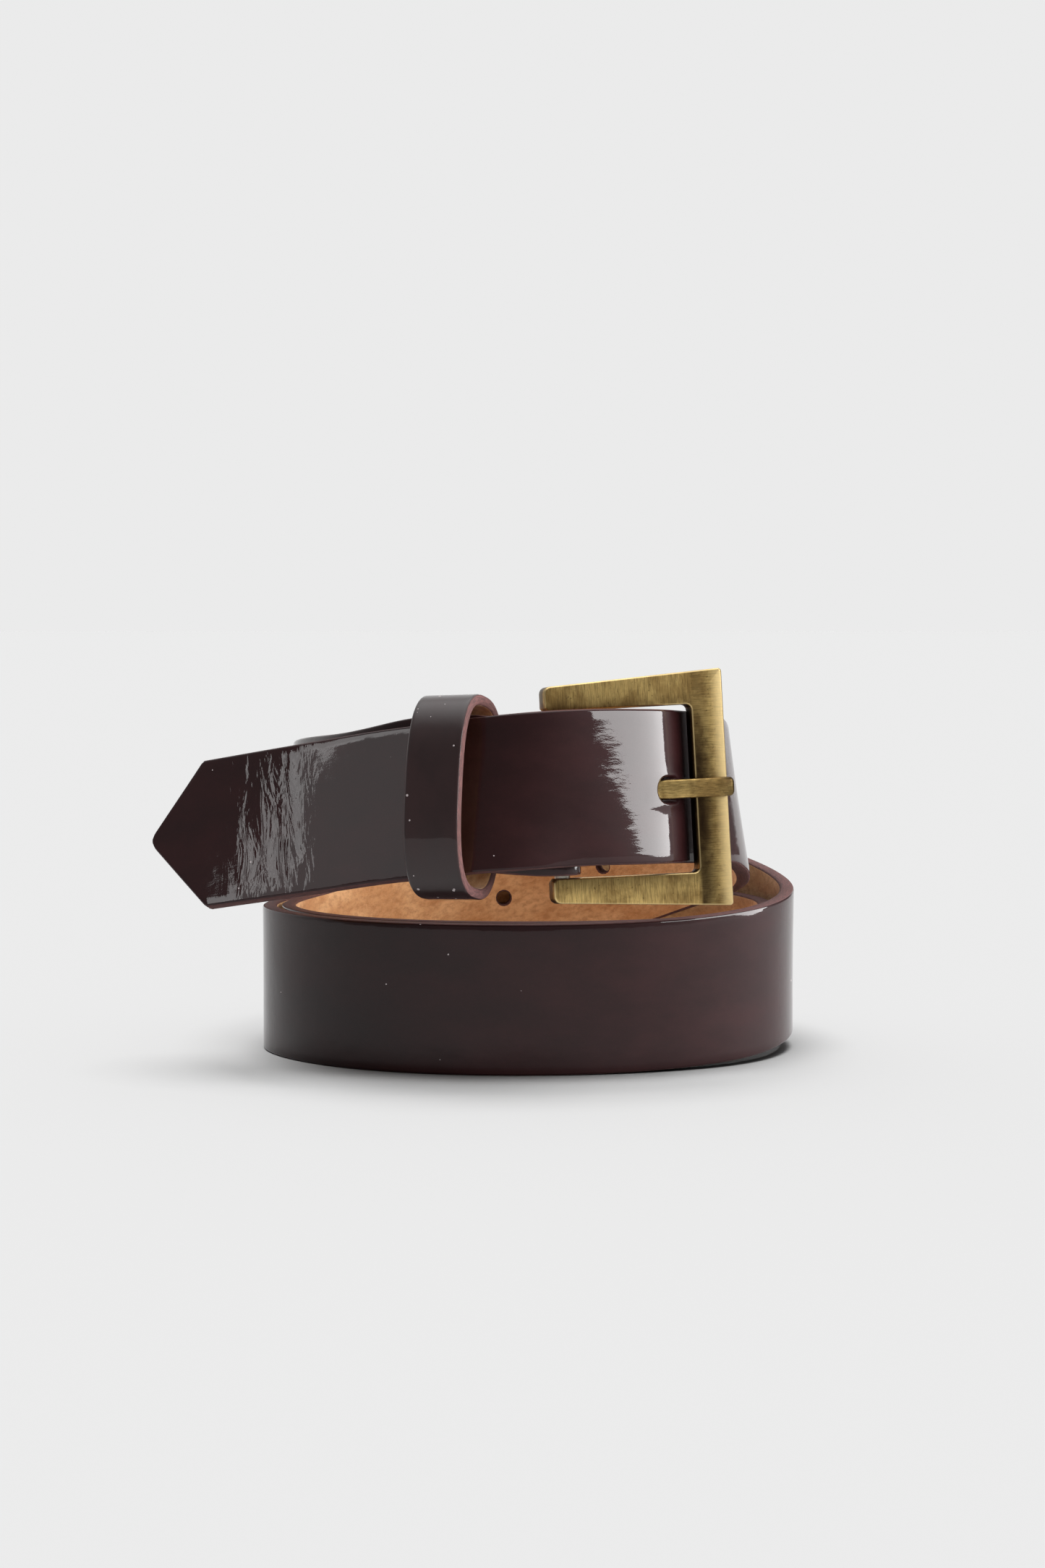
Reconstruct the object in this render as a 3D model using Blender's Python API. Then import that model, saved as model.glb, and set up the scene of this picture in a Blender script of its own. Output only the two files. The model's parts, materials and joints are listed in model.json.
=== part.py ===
"""A leather dress belt with a prong buckle, done up and wound into a coil that stands on its edge.

Metres, +Z up. The origin is on the table, under the middle of the whole object. Seen from the front
(-Y) the buckle is on the upper tier, with the belt's pointed end lying over it to the left.
"""

import math

import bmesh
import bpy
import numpy as np
from mathutils import Matrix, Vector

MM = 0.001
GAP = 0.3 * MM  # air between pieces that touch on the real belt
WELD_DISTANCE = 0.001 * MM
SHARP_ANGLE = math.radians(40)

# Strap: one layer of leather
STRAP_WIDTH = 35 * MM
STRAP_THICKNESS = 3.5 * MM
SKIVED_THICKNESS = 2.2 * MM  # pared thinner where it folds round the heel bar
EDGE_CHAMFER = 0.5 * MM
STATION_SPACING = 5 * MM
POINT_LENGTH = 14.5 * MM  # the arrow-shaped end
POINT_NOSE_RADIUS = 3.5 * MM

# Punched holes, counted from the pointed end
HOLE_COUNT = 7
HOLE_SPACING = 29 * MM
HOLE_DIAMETER = 3.6 * MM

# The coil's outermost turn: an oval with a flatter front half
COIL_CENTRE = Vector((10.9, 1.57, 0)) * MM
COIL_HALF_WIDTH = 63.2 * MM
COIL_FRONT_DEPTH = 42.85 * MM
COIL_BACK_DEPTH = 64.25 * MM

# Fold round the heel bar, and the flap that it turns back
BAR_RADIUS = 1.8 * MM
FOLD_RADIUS = BAR_RADIUS + 2 * GAP + SKIVED_THICKNESS / 2
FLAP_LENGTH = 48 * MM
FLAP_CLOSING = 16 * MM  # along which the flap comes to lie flat on the strap
SKIVE_LENGTH = 14 * MM
LAYER_GAP = 0.5 * MM

# Buckle: u runs along the strap from the heel bar, v up the bar, w outwards
BUCKLE_PLACE = Vector((6.7, -52.4, 65.4)) * MM  # heel bar's middle, from the coil's centre
BUCKLE_HEADING = 19.0  # degrees that u turns away from the front
BUCKLE_LEAN = 5.0  # degrees that v leans towards the coil
BUCKLE_ROLL = 1.5  # degrees that u rises
FRAME_THICKNESS = 4.2 * MM
FRAME_RISE = 0.5 * MM  # the plate's middle lies this far outside the bar's
FRAME_REACH = 40.6 * MM  # bar's axis to the front bar's outer edge
FRAME_HEEL = 2.9 * MM  # bar's axis to the arms' ends
FRONT_BAR_WIDTH = 7.9 * MM
FRAME_HEEL_HEIGHT = 49.0 * MM
FRAME_FRONT_HEIGHT = 54.6 * MM
OPENING_HEEL_HEIGHT = 37.6 * MM
OPENING_FRONT_HEIGHT = 38.6 * MM
CORNER_RADIUS = 0.8 * MM
FRAME_ROUNDING = 0.5 * MM
BAR_SOCKET_DEPTH = 3.6 * MM

# Prong
PRONG_WIDTH = 4.4 * MM
PRONG_THICKNESS = 2.2 * MM
PRONG_WRAP_THICKNESS = 1.5 * MM
PRONG_WRAP_START = -8.0  # degrees
PRONG_LIFT = 2.5  # degrees that the prong can rise
PRONG_CHAMFER = 0.45 * MM
PRONG_CLEARANCE = 0.4 * MM
PRONG_SHANK_START = 4 * MM  # from the bar's axis, past which the prong passes through its hole
PRONG_SLOT_WIDTH = 6.4 * MM
PRONG_SLOT_LENGTH = 9 * MM
SLOT_CUT_TOP = 5 * MM  # how far outside, inside and in front of the bar's axis the slot is cut
SLOT_CUT_BOTTOM = -12 * MM
SLOT_CUT_REACH = 7 * MM
CUT_CHAMFER = 0.3 * MM

# Keeper
KEEPER_WIDTH = 13.2 * MM
KEEPER_THICKNESS = 2.5 * MM
KEEPER_HEIGHT = 46.2 * MM
KEEPER_DEPTH = 27 * MM
KEEPER_SQUARENESS = 2.8  # 2 is an ellipse, and more is squarer
KEEPER_SIDES = 40
KEEPER_BUTT_GAP = 0.8 * MM
KEEPER_RAISE = 0.9 * MM  # its middle above the free end's
KEEPER_ALONG = 3.2 * MM  # its middle beyond its station
KEEPER_OUT = 0.5 * MM  # its middle outside that of the layers in it
KEEPER_SLEW = 4.0  # degrees that it is turned on the straps, towards the front
KEEPER_TILT = 7.0  # degrees that it is out of square with them, its top towards the buckle
STAPLE_WIRE = 1.0 * MM
STAPLE_SPAN = 9 * MM
STAPLE_BEND = 0.6 * MM
STAPLE_COVER = 0.7 * MM  # leather left between a leg's end and the band's inside

# Rivets
RIVET_HEAD_DIAMETER = 7 * MM
RIVET_HEAD_THICKNESS = 0.9 * MM
RIVET_STEM_DIAMETER = 3.2 * MM
RIVET_BORE_DIAMETER = 1.8 * MM
RIVET_SUNK = 0.6 * MM
RIVET_JOIN = 0.2 * MM  # how far the stem runs into its head
RIVET_CUT_PAST = 2 * MM  # how far the recesses are cut past the leather
RIVETS_BACK = {"buckle_side": 13.5 * MM, "keeper_side": 42 * MM}  # along the strap from the heel bar

# Routes in millimetres from the coil's centre: x, y, height of the strap's middle, lean in degrees
FREE_END = (
    (-86.4, -35.0, 53.0, 19),
    (-60.0, -44.6, 57.9, 17),
    (-44.0, -49.9, 60.8, 16),
    (-32.0, -53.5, 62.9, 15),
    (-20.5, -56.9, 64.5, 13),
    (-13.0, -59.0, 65.6, 12),
    (-4.0, -60.9, 66.6, 9),
)
# Through the buckle and into the fold: u, v, w in millimetres
THROUGH_BUCKLE = (
    (0, 1.4, 7.0),
    (9, 1.3, 6.9),
    (17.0, 1.0, 5.6),
    (23.4, 0.8, 2.8),
    (28.6, 0.6, -1.1),
    (34.0, 0.3, -5.1),
    (39.5, 0, -8.8),
)
INTO_FOLD = ((-5.3, -0.4, 2.75), (-0.25, -0.6, 3.45))
INTO_FIRST_TURN = ((45.6, -21.5, 64.6, 8), (48.6, -10.5, 61.6, 9))
# Turns of the coil: turn in degrees from the right, anticlockwise from above; inset from the oval
# in millimetres; height of the middle; lean
TURNS = (
    (0, 13.8, 58.0, 9),
    (40, 13.2, 48.0, 7),
    (70, 10.4, 39.0, 4),
    (95, 9.6, 31.5, 2),
    (125, 9.4, 22.6, 1),
    (155, 7.4, 18.2, 0),
    (180, 4.8, 17.5, 0),
    (225, 4.5, 17.5, 0),
    (270, 4.5, 17.5, 0),
    (315, 5.0, 17.5, 0),
    (360, 5.5, 17.5, 0),
    (405, 5.0, 17.5, 0),
    (450, 4.6, 17.5, 0),
    (495, 4.4, 17.5, 0),
    (518, 2.6, 17.5, 0),
    (540, 0.2, 17.5, 0),
    (585, 0.0, 17.5, 0),
    (630, 0.0, 17.5, 0),
    (660, 0.0, 18.0, 0),
    (690, 0.0, 19.4, 0),
    (720, 0.0, 21.4, 0),
    (760, 0.0, 27.5, 1),
    (810, -0.5, 41.0, 3),
    (850, -0.8, 53.0, 5),
    (877, 1.6, 56.0, 7),
    (900, 5.2, 57.3, 9),
)
INTO_BUCKLE_SIDE = ((-56.6, -14.0, 58.4, 10), (-51.4, -28.0, 60.0, 12), (-41.6, -41.6, 61.8, 13))
# Against the free end: which of its stations the buckle side lies behind there, height, lean
BEHIND_FREE_END = ((3, 64.4, 15), (4, 66.2, 13), (5, 66.1, 12), (6, 65.6, 9))
BUCKLE_SIDE_OFFSET = STRAP_THICKNESS + 1.4 * MM
KEEPER_STATION = 4  # of the free end
HINGE_STATION = 3
HOLE_STATION = 3  # of the run through the buckle
FIRST_RUN = 200 * MM  # holds the free end and the buckle, and nothing of the turns above or below
HINGE_LEAD = 3.5 * MM  # the free end bends this far before that station


def clear_scene():
    for old in list(bpy.data.objects):
        bpy.data.objects.remove(old, do_unlink=True)


def new_collection(name):
    collection = bpy.data.collections.new(name)
    bpy.context.scene.collection.children.link(collection)
    return collection


def new_material(name, colour, roughness, metallic=0.0, coat=0.0):
    material = bpy.data.materials.new(name)
    material.use_nodes = True
    shader = material.node_tree.nodes["Principled BSDF"]
    shader.inputs["Base Color"].default_value = (*colour, 1)
    shader.inputs["Roughness"].default_value = roughness
    shader.inputs["Metallic"].default_value = metallic
    shader.inputs["Coat Weight"].default_value = coat
    material.diffuse_color = (*colour, 1)
    return material


def buckle_matrix():
    """The buckle's frame: columns u, v, w and the middle of the heel bar."""
    turn = Matrix.Rotation(math.radians(BUCKLE_HEADING), 4, "Z")
    lean = Matrix.Rotation(math.radians(-BUCKLE_LEAN), 4, "X")
    roll = Matrix.Rotation(math.radians(-BUCKLE_ROLL), 4, "Y")
    upright = Matrix(((1, 0, 0, 0), (0, 0, -1, 0), (0, 1, 0, 0), (0, 0, 0, 1)))
    return Matrix.Translation(COIL_CENTRE + BUCKLE_PLACE) @ turn @ lean @ roll @ upright


def on_buckle(u, v, w):
    """A station of the strap where it runs through the buckle."""
    point = buckle_matrix() @ Vector((u * MM, v * MM, w * MM))
    return (*point, math.radians(BUCKLE_LEAN))


def by_hand(x, y, height, lean):
    """A station from one of the hand-drawn routes."""
    return (COIL_CENTRE.x + x * MM, COIL_CENTRE.y + y * MM, height * MM, math.radians(lean))


def on_coil(turn, inset, height, lean):
    """A station on the oval coil, set in towards its middle."""
    angle = math.radians(turn)
    depth = COIL_BACK_DEPTH if math.sin(angle) > 0 else COIL_FRONT_DEPTH
    x = (COIL_HALF_WIDTH - inset * MM) * math.cos(angle)
    y = (depth - inset * MM) * math.sin(angle)
    return (COIL_CENTRE.x + x, COIL_CENTRE.y + y, height * MM, math.radians(lean))


def natural_spline(knots, values, wanted):
    """A smooth curve through the values at the knots, bending no more than it has to."""
    steps = np.diff(knots)
    count = len(knots)
    system = np.eye(count)
    right = np.zeros((count, values.shape[1]))
    for i in range(1, count - 1):
        system[i, i - 1 : i + 2] = steps[i - 1], 2 * (steps[i - 1] + steps[i]), steps[i]
        slopes = np.diff(values[i - 1 : i + 2], axis=0) / steps[i - 1 : i + 1, None]
        right[i] = 6 * (slopes[1] - slopes[0])
    bends = np.linalg.solve(system, right)
    spans = np.clip(np.searchsorted(knots, wanted, side="right") - 1, 0, count - 2)
    width = steps[spans, None]
    before = (knots[spans + 1] - wanted)[:, None]
    after = (wanted - knots[spans])[:, None]
    curve = (bends[spans] * before**3 + bends[spans + 1] * after**3) / (6 * width)
    curve += (values[spans] / width - bends[spans] * width / 6) * before
    return curve + (values[spans + 1] / width - bends[spans + 1] * width / 6) * after


class Route:
    """A smooth line through stations, measured by its own length."""

    def __init__(self, stations):
        values = np.array(stations)
        chords = np.linalg.norm(np.diff(values[:, :3], axis=0), axis=1)
        knots = np.concatenate([[0], np.cumsum(chords)])
        fine = np.linspace(0, knots[-1], 40 * len(knots))
        self.values = natural_spline(knots, values, fine)
        self.values[:, 2] = np.maximum(self.values[:, 2], STRAP_WIDTH / 2)  # the table
        lengths = np.linalg.norm(np.diff(self.values[:, :3], axis=0), axis=1)
        self.at = np.concatenate([[0], np.cumsum(lengths)])
        self.length = self.at[-1]

    def read(self, distance):
        return np.array([np.interp(distance, self.at, column) for column in self.values.T])

    def nearest(self, station):
        gaps = np.linalg.norm(self.values[:, :2] - np.array(station)[:2], axis=1)
        return self.at[np.argmin(np.where(self.at < FIRST_RUN, gaps, 1))]

    def frame(self, distance):
        """The strap's middle there, its direction, its outward normal and its width direction."""
        step = 0.4 * MM
        ends = self.read(max(distance - step, 0)), self.read(min(distance + step, self.length))
        along = Vector(ends[1][:3] - ends[0][:3]).normalized()
        here = self.read(distance)
        level = Vector((along.y, -along.x, 0)).normalized()
        lean = Matrix.Rotation(-here[3], 3, along)
        outwards = lean @ level
        return Vector(here[:3]), along, outwards, outwards.cross(along)


def strap_stations():
    """The whole belt from its point to the heel bar, wound three times round."""
    free_end = [by_hand(*station) for station in FREE_END]
    stations = list(free_end)
    stations += [on_buckle(*station) for station in THROUGH_BUCKLE]
    stations += [by_hand(*station) for station in INTO_FIRST_TURN]
    stations += [on_coil(*station) for station in TURNS]
    stations += [by_hand(*station) for station in INTO_BUCKLE_SIDE]
    lead = Route(stations[: len(FREE_END) + 2])
    for index, height, lean in BEHIND_FREE_END:
        middle, _, outwards, _ = lead.frame(lead.nearest(free_end[index]))
        inside = middle - outwards * BUCKLE_SIDE_OFFSET
        stations.append((inside.x, inside.y, height * MM, math.radians(lean)))
    stations += [on_buckle(*station) for station in INTO_FOLD]
    return stations


def eased(fraction):
    """0 to 1, starting and ending gently."""
    fraction = min(max(fraction, 0), 1)
    return fraction * fraction * (3 - 2 * fraction)


def section(middle, outwards, upwards, thickness, width, chamfer):
    """A rectangle with its corners cut off, as a ring of eight points."""
    half_out, half_up = thickness / 2, width / 2
    chamfer = min(chamfer, half_up / 2)
    corners = (
        (half_out, half_up - chamfer),
        (half_out - chamfer, half_up),
        (chamfer - half_out, half_up),
        (-half_out, half_up - chamfer),
        (-half_out, chamfer - half_up),
        (chamfer - half_out, -half_up),
        (half_out - chamfer, -half_up),
        (half_out, chamfer - half_up),
    )
    return [middle + outwards * out + upwards * up for out, up in corners]


def loft(name, rings, material, collection, origin=None):
    """A closed solid through a row of rings with the same number of points."""
    origin = origin or Vector()
    mesh = bpy.data.meshes.new(name)
    shape = bmesh.new()
    rows = [[shape.verts.new(point - origin) for point in ring] for ring in rings]
    count = len(rows[0])
    for row, following in zip(rows, rows[1:]):
        for i in range(count):
            j = (i + 1) % count
            shape.faces.new((row[i], row[j], following[j], following[i]))
    shape.faces.new(rows[0])
    shape.faces.new(rows[-1])
    bmesh.ops.recalc_face_normals(shape, faces=shape.faces)
    shape.to_mesh(mesh)
    shape.free()
    mesh.shade_smooth()
    mesh.set_sharp_from_angle(angle=math.radians(35))
    mesh.materials.append(material)
    made = bpy.data.objects.new(name, mesh)
    made.location = origin
    collection.objects.link(made)
    return made


def add_boolean(target, operation, other):
    modifier = target.modifiers.new(f"{operation.lower()} {other.name}", "BOOLEAN")
    modifier.operation = operation
    modifier.solver = "EXACT"
    modifier.object = other
    return modifier


def as_cutter(cutter):
    cutter.hide_render = True
    cutter.display_type = "WIRE"
    return cutter


def point_half_width(distance):
    """Half the strap's width that far from the tip of its point: two straight cuts and a round nose."""
    half = STRAP_WIDTH / 2
    slant = math.atan2(half, POINT_LENGTH)
    nose_centre = POINT_NOSE_RADIUS / math.sin(slant)
    from_corner = distance + nose_centre - POINT_NOSE_RADIUS
    if from_corner < nose_centre - POINT_NOSE_RADIUS * math.sin(slant):
        return math.sqrt(max(POINT_NOSE_RADIUS**2 - (nose_centre - from_corner) ** 2, 0))
    return min(from_corner * math.tan(slant), half)


def thickness_at(route, distance):
    """The strap's thickness, pared thinner towards the fold."""
    thinned = eased(1 - (route.length - distance) / SKIVE_LENGTH)
    return STRAP_THICKNESS + thinned * (SKIVED_THICKNESS - STRAP_THICKNESS)


def flap_apart(back):
    """How far the flap's middle is from the strap's, that far back from the heel bar."""
    closed = STRAP_THICKNESS / 2 + LAYER_GAP + SKIVED_THICKNESS / 2
    return 2 * FOLD_RADIUS + eased(back / FLAP_CLOSING) * (closed - 2 * FOLD_RADIUS)


def strap_rings(route, start, end):
    """Rings along the strap between two distances, pared thinner towards the fold."""
    rings = []
    for distance in np.linspace(start, end, max(2, round((end - start) / STATION_SPACING))):
        middle, _, outwards, upwards = route.frame(distance)
        thickness = thickness_at(route, distance)
        rings.append(section(middle, outwards, upwards, thickness, STRAP_WIDTH, EDGE_CHAMFER))
    return rings


def fold_rings(route):
    """Rings round the heel bar and back along the inside of the strap."""
    end, _, outwards, upwards = route.frame(route.length)
    bar = end - outwards * FOLD_RADIUS
    rings = []
    for turned in range(20, 180, 20):
        way = Matrix.Rotation(math.radians(turned), 3, upwards) @ outwards
        middle = bar + way * FOLD_RADIUS
        rings.append(section(middle, way, upwards, SKIVED_THICKNESS, STRAP_WIDTH, EDGE_CHAMFER))
    for back in np.arange(0, FLAP_LENGTH, STATION_SPACING / 2):
        middle, _, outwards, upwards = route.frame(route.length - back)
        middle = middle - outwards * flap_apart(back)
        rings.append(section(middle, -outwards, upwards, SKIVED_THICKNESS, STRAP_WIDTH, EDGE_CHAMFER))
    return rings


def solid_from_curve(name, curve, material, collection):
    """A closed mesh object from a curve with a bevel."""
    drawn = bpy.data.objects.new(f"{name}_line", curve)
    collection.objects.link(drawn)
    bpy.context.view_layer.update()
    graph = bpy.context.evaluated_depsgraph_get()
    mesh = bpy.data.meshes.new_from_object(drawn.evaluated_get(graph))
    bpy.data.objects.remove(drawn)
    weld = bmesh.new()
    weld.from_mesh(mesh)
    bmesh.ops.remove_doubles(weld, verts=weld.verts, dist=WELD_DISTANCE)
    bmesh.ops.recalc_face_normals(weld, faces=weld.faces)
    weld.to_mesh(mesh)
    weld.free()
    mesh.name = name
    mesh.materials.clear()
    mesh.materials.append(material)
    made = bpy.data.objects.new(name, mesh)
    collection.objects.link(made)
    return made


def make_cylinder(name, radius, ends, collection, material=None, sides=32):
    """A round bar between two points."""
    start, finish = ends
    axis = finish - start
    bpy.ops.mesh.primitive_cylinder_add(radius=radius, depth=axis.length, vertices=sides)
    bar = bpy.context.object
    bar.name = name
    bar.data.name = name
    turned = axis.to_track_quat("Z", "Y").to_matrix().to_4x4()
    bar.matrix_world = Matrix.Translation((start + finish) / 2) @ turned
    for owner in bar.users_collection:
        owner.objects.unlink(bar)
    collection.objects.link(bar)
    bar.data.shade_smooth()
    bar.data.set_sharp_from_angle(angle=SHARP_ANGLE)
    if material:
        bar.data.materials.append(material)
    return bar


def make_strap(route, hinge_at, hole_at, materials, parts, cutters):
    """The strap but for its free end, with its holes, its fold and its flap."""
    rings = strap_rings(route, hinge_at + GAP / 2, route.length) + fold_rings(route)
    strap = loft("strap", rings, materials["patent leather"], parts)
    for number in range(1, HOLE_COUNT):
        middle, _, outwards, _ = route.frame(hole_at + number * HOLE_SPACING)
        ends = middle - outwards * STRAP_THICKNESS, middle + outwards * STRAP_THICKNESS
        punch = make_cylinder(f"hole_punch_{number + 1}", HOLE_DIAMETER / 2, ends, cutters, sides=20)
        add_boolean(strap, "DIFFERENCE", as_cutter(punch))
    return strap


def make_strap_tip(route, hinge_at, hinge_point, materials, parts):
    """The free pointed end, which bends at the hinge line."""
    end = hinge_at - GAP / 2
    nose = [POINT_NOSE_RADIUS * share for share in (0.034, 0.17, 0.43, 0.86)]
    slants = list(np.linspace(POINT_LENGTH * 0.41, POINT_LENGTH * 0.986, 3))
    rest = list(np.arange(POINT_LENGTH * 1.14, end - STATION_SPACING * 0.4, STATION_SPACING))
    rings = []
    for distance in [*nose, *slants, *rest, end]:
        middle, _, outwards, upwards = route.frame(distance)
        width = 2 * point_half_width(distance)
        rings.append(section(middle, outwards, upwards, STRAP_THICKNESS, width, EDGE_CHAMFER))
    return loft("strap_tip", rings, materials["patent leather"], parts, hinge_point)


def plate_outline():
    """Half of the buckle's outline, above its middle: (u, v) from the front to the arm's heel."""
    outer_slope = (FRAME_FRONT_HEIGHT - FRAME_HEEL_HEIGHT) / 2 / (FRAME_REACH + FRAME_HEEL)
    inner_front = FRAME_REACH - FRONT_BAR_WIDTH
    inner_slope = (OPENING_FRONT_HEIGHT - OPENING_HEEL_HEIGHT) / 2 / (inner_front + FRAME_HEEL)
    outline = [(FRAME_REACH, 0)]
    for turned in (0, 30, 60, 90):
        angle = math.radians(turned)
        outline.append(
            (
                FRAME_REACH - CORNER_RADIUS * (1 - math.cos(angle)),
                FRAME_FRONT_HEIGHT / 2 - CORNER_RADIUS * (1 - math.sin(angle)),
            )
        )
    arm_end = FRAME_HEEL_HEIGHT / 2 + outer_slope * 0.5 * MM
    inner_end = OPENING_HEEL_HEIGHT / 2
    outline += [(-FRAME_HEEL + 1.2 * MM, arm_end), (-FRAME_HEEL, arm_end - 1.2 * MM)]
    outline += [(-FRAME_HEEL, inner_end + 0.8 * MM), (-FRAME_HEEL + 0.8 * MM, inner_end)]
    inner_corner = OPENING_FRONT_HEIGHT / 2
    outline += [(inner_front - 1.5 * MM, inner_corner - inner_slope * 1.5 * MM)]
    outline += [(inner_front - 0.4 * MM, inner_corner - 0.5 * MM), (inner_front, inner_corner - 1.6 * MM)]
    outline.append((inner_front, 0))
    return outline


def make_frame(buckle, materials, parts, cutters):
    """The buckle's frame: a bevelled plate, open at the heel, with a socket in each arm."""
    upper = plate_outline()
    outline = upper[1:-1] + [(u, -v) for u, v in reversed(upper[1:-1])]
    shape = bpy.data.curves.new("buckle_frame", "CURVE")
    shape.dimensions = "2D"
    shape.fill_mode = "BOTH"
    shape.extrude = FRAME_THICKNESS / 2 - FRAME_ROUNDING
    shape.bevel_depth = FRAME_ROUNDING
    shape.bevel_resolution = 2
    shape.offset = -FRAME_ROUNDING
    line = shape.splines.new("POLY")
    line.points.add(len(outline) - 1)
    for point, (u, v) in zip(line.points, outline):
        point.co = (u, v, 0, 1)
    line.use_cyclic_u = True
    frame = solid_from_curve("buckle_frame", shape, materials["brass"], parts)
    frame.data.transform(Matrix.Translation((0, 0, FRAME_RISE)))
    frame.data.shade_smooth()
    frame.data.set_sharp_from_angle(angle=SHARP_ANGLE)
    frame.matrix_world = buckle
    reach = OPENING_HEEL_HEIGHT / 2 + BAR_SOCKET_DEPTH
    ends = buckle @ Vector((0, -reach - GAP, 0)), buckle @ Vector((0, reach + GAP, 0))
    socket = make_cylinder("bar_socket", BAR_RADIUS + GAP, ends, cutters, sides=24)
    add_boolean(frame, "DIFFERENCE", as_cutter(socket))
    ends = buckle @ Vector((0, -reach, 0)), buckle @ Vector((0, reach, 0))
    make_cylinder("heel_bar", BAR_RADIUS, ends, parts, materials["steel"], sides=24)


def prong_line():
    """The prong's side view: (u, w, thickness) along its middle, from inside its loop to its end."""
    radius = BAR_RADIUS + GAP + PRONG_WRAP_THICKNESS / 2
    line = []
    for turned in range(int(PRONG_WRAP_START), -265, -24):
        angle = math.radians(turned)
        line.append((radius * math.cos(angle), radius * math.sin(angle), PRONG_WRAP_THICKNESS))
    top = FRAME_RISE + FRAME_THICKNESS / 2 + GAP
    line.append((0, radius, PRONG_WRAP_THICKNESS))
    line.append((5 * MM, radius + 0.1 * MM, 1.8 * MM))
    line.append((14 * MM, radius + 0.3 * MM, PRONG_THICKNESS))
    line.append((FRAME_REACH - FRONT_BAR_WIDTH - 1 * MM, top + PRONG_THICKNESS / 2, PRONG_THICKNESS))
    line.append((FRAME_REACH - 2 * MM, top + PRONG_THICKNESS / 2, PRONG_THICKNESS))
    line.append((FRAME_REACH + 0.8 * MM, top + 0.9 * MM, 1.9 * MM))
    return line


def prong_rings(line, buckle, width, above, below, chamfer):
    """Rings across the prong's side view, made wider, higher and deeper by the amounts given."""
    rings = []
    for i, (u, w, thickness) in enumerate(line):
        before, after = line[max(i - 1, 0)], line[min(i + 1, len(line) - 1)]
        along = Vector((after[0] - before[0], 0, after[1] - before[1])).normalized()
        out = Vector((-along.z, 0, along.x))
        raised = above(u) - below(u)
        middle = Vector((u, 0, w)) + out * raised / 2
        deep = thickness + above(u) + below(u)
        ring = section(middle, out, Vector((0, 1, 0)), deep, width, chamfer)
        rings.append([buckle @ point for point in ring])
    return rings


def make_prong(buckle, materials, parts):
    def nothing(_):
        return 0

    rings = prong_rings(prong_line(), buckle, PRONG_WIDTH, nothing, nothing, PRONG_CHAMFER)
    origin = buckle.translation
    return loft("prong", rings, materials["brass"], parts, origin)


def cut_prong_ways(strap, buckle, materials, cutters):
    """The slot in the fold that the prong's loop turns in, and the hole that the prong goes through."""
    middle_through = Vector((0, 0, (SLOT_CUT_TOP + SLOT_CUT_BOTTOM) / 2))
    rings = []
    for u, height in (
        (-PRONG_SLOT_LENGTH, PRONG_SLOT_WIDTH * 0.33),
        (-PRONG_SLOT_LENGTH * 0.83, PRONG_SLOT_WIDTH * 0.86),
        (-PRONG_SLOT_LENGTH * 0.67, PRONG_SLOT_WIDTH),
        (SLOT_CUT_REACH, PRONG_SLOT_WIDTH),
    ):
        middle = middle_through + Vector((u, 0, 0))
        through, upwards = Vector((0, 0, 1)), Vector((0, 1, 0))
        ring = section(middle, through, upwards, SLOT_CUT_TOP - SLOT_CUT_BOTTOM, height, CUT_CHAMFER)
        rings.append([buckle @ point for point in ring])
    cutter = loft("prong_slot", rings, materials["steel"], cutters)
    add_boolean(strap, "DIFFERENCE", as_cutter(cutter))

    def lifted(u):
        return PRONG_CLEARANCE + u * math.sin(math.radians(PRONG_LIFT))

    def under(_):
        return PRONG_CLEARANCE

    shank = [station for station in prong_line() if station[0] > PRONG_SHANK_START]
    width = PRONG_WIDTH + 2 * PRONG_CLEARANCE
    rings = prong_rings(shank, buckle, width, lifted, under, CUT_CHAMFER)
    cutter = loft("prong_hole", rings, materials["steel"], cutters)
    add_boolean(strap, "DIFFERENCE", as_cutter(cutter))


def keeper_line():
    """The keeper's oval path round the straps: (out, up) and the way its outer side faces, in degrees."""
    half_depth = (KEEPER_DEPTH - KEEPER_THICKNESS) / 2
    half_height = (KEEPER_HEIGHT - KEEPER_THICKNESS) / 2
    butt = math.degrees(KEEPER_BUTT_GAP / 2 / half_depth)
    line = []
    for turned in np.linspace(180 - butt, butt - 180, KEEPER_SIDES):
        angle = math.radians(turned)
        across, upright = math.cos(angle), math.sin(angle)
        power = 2 / KEEPER_SQUARENESS
        out = math.copysign(abs(across) ** power, across)
        up = math.copysign(abs(upright) ** power, upright)
        steepness = KEEPER_SQUARENESS - 1
        facing_out = math.copysign(abs(out) ** steepness, out) / half_depth
        facing_up = math.copysign(abs(up) ** steepness, up) / half_height
        line.append((out * half_depth, up * half_height, math.degrees(math.atan2(facing_up, facing_out))))
    return line


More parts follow.
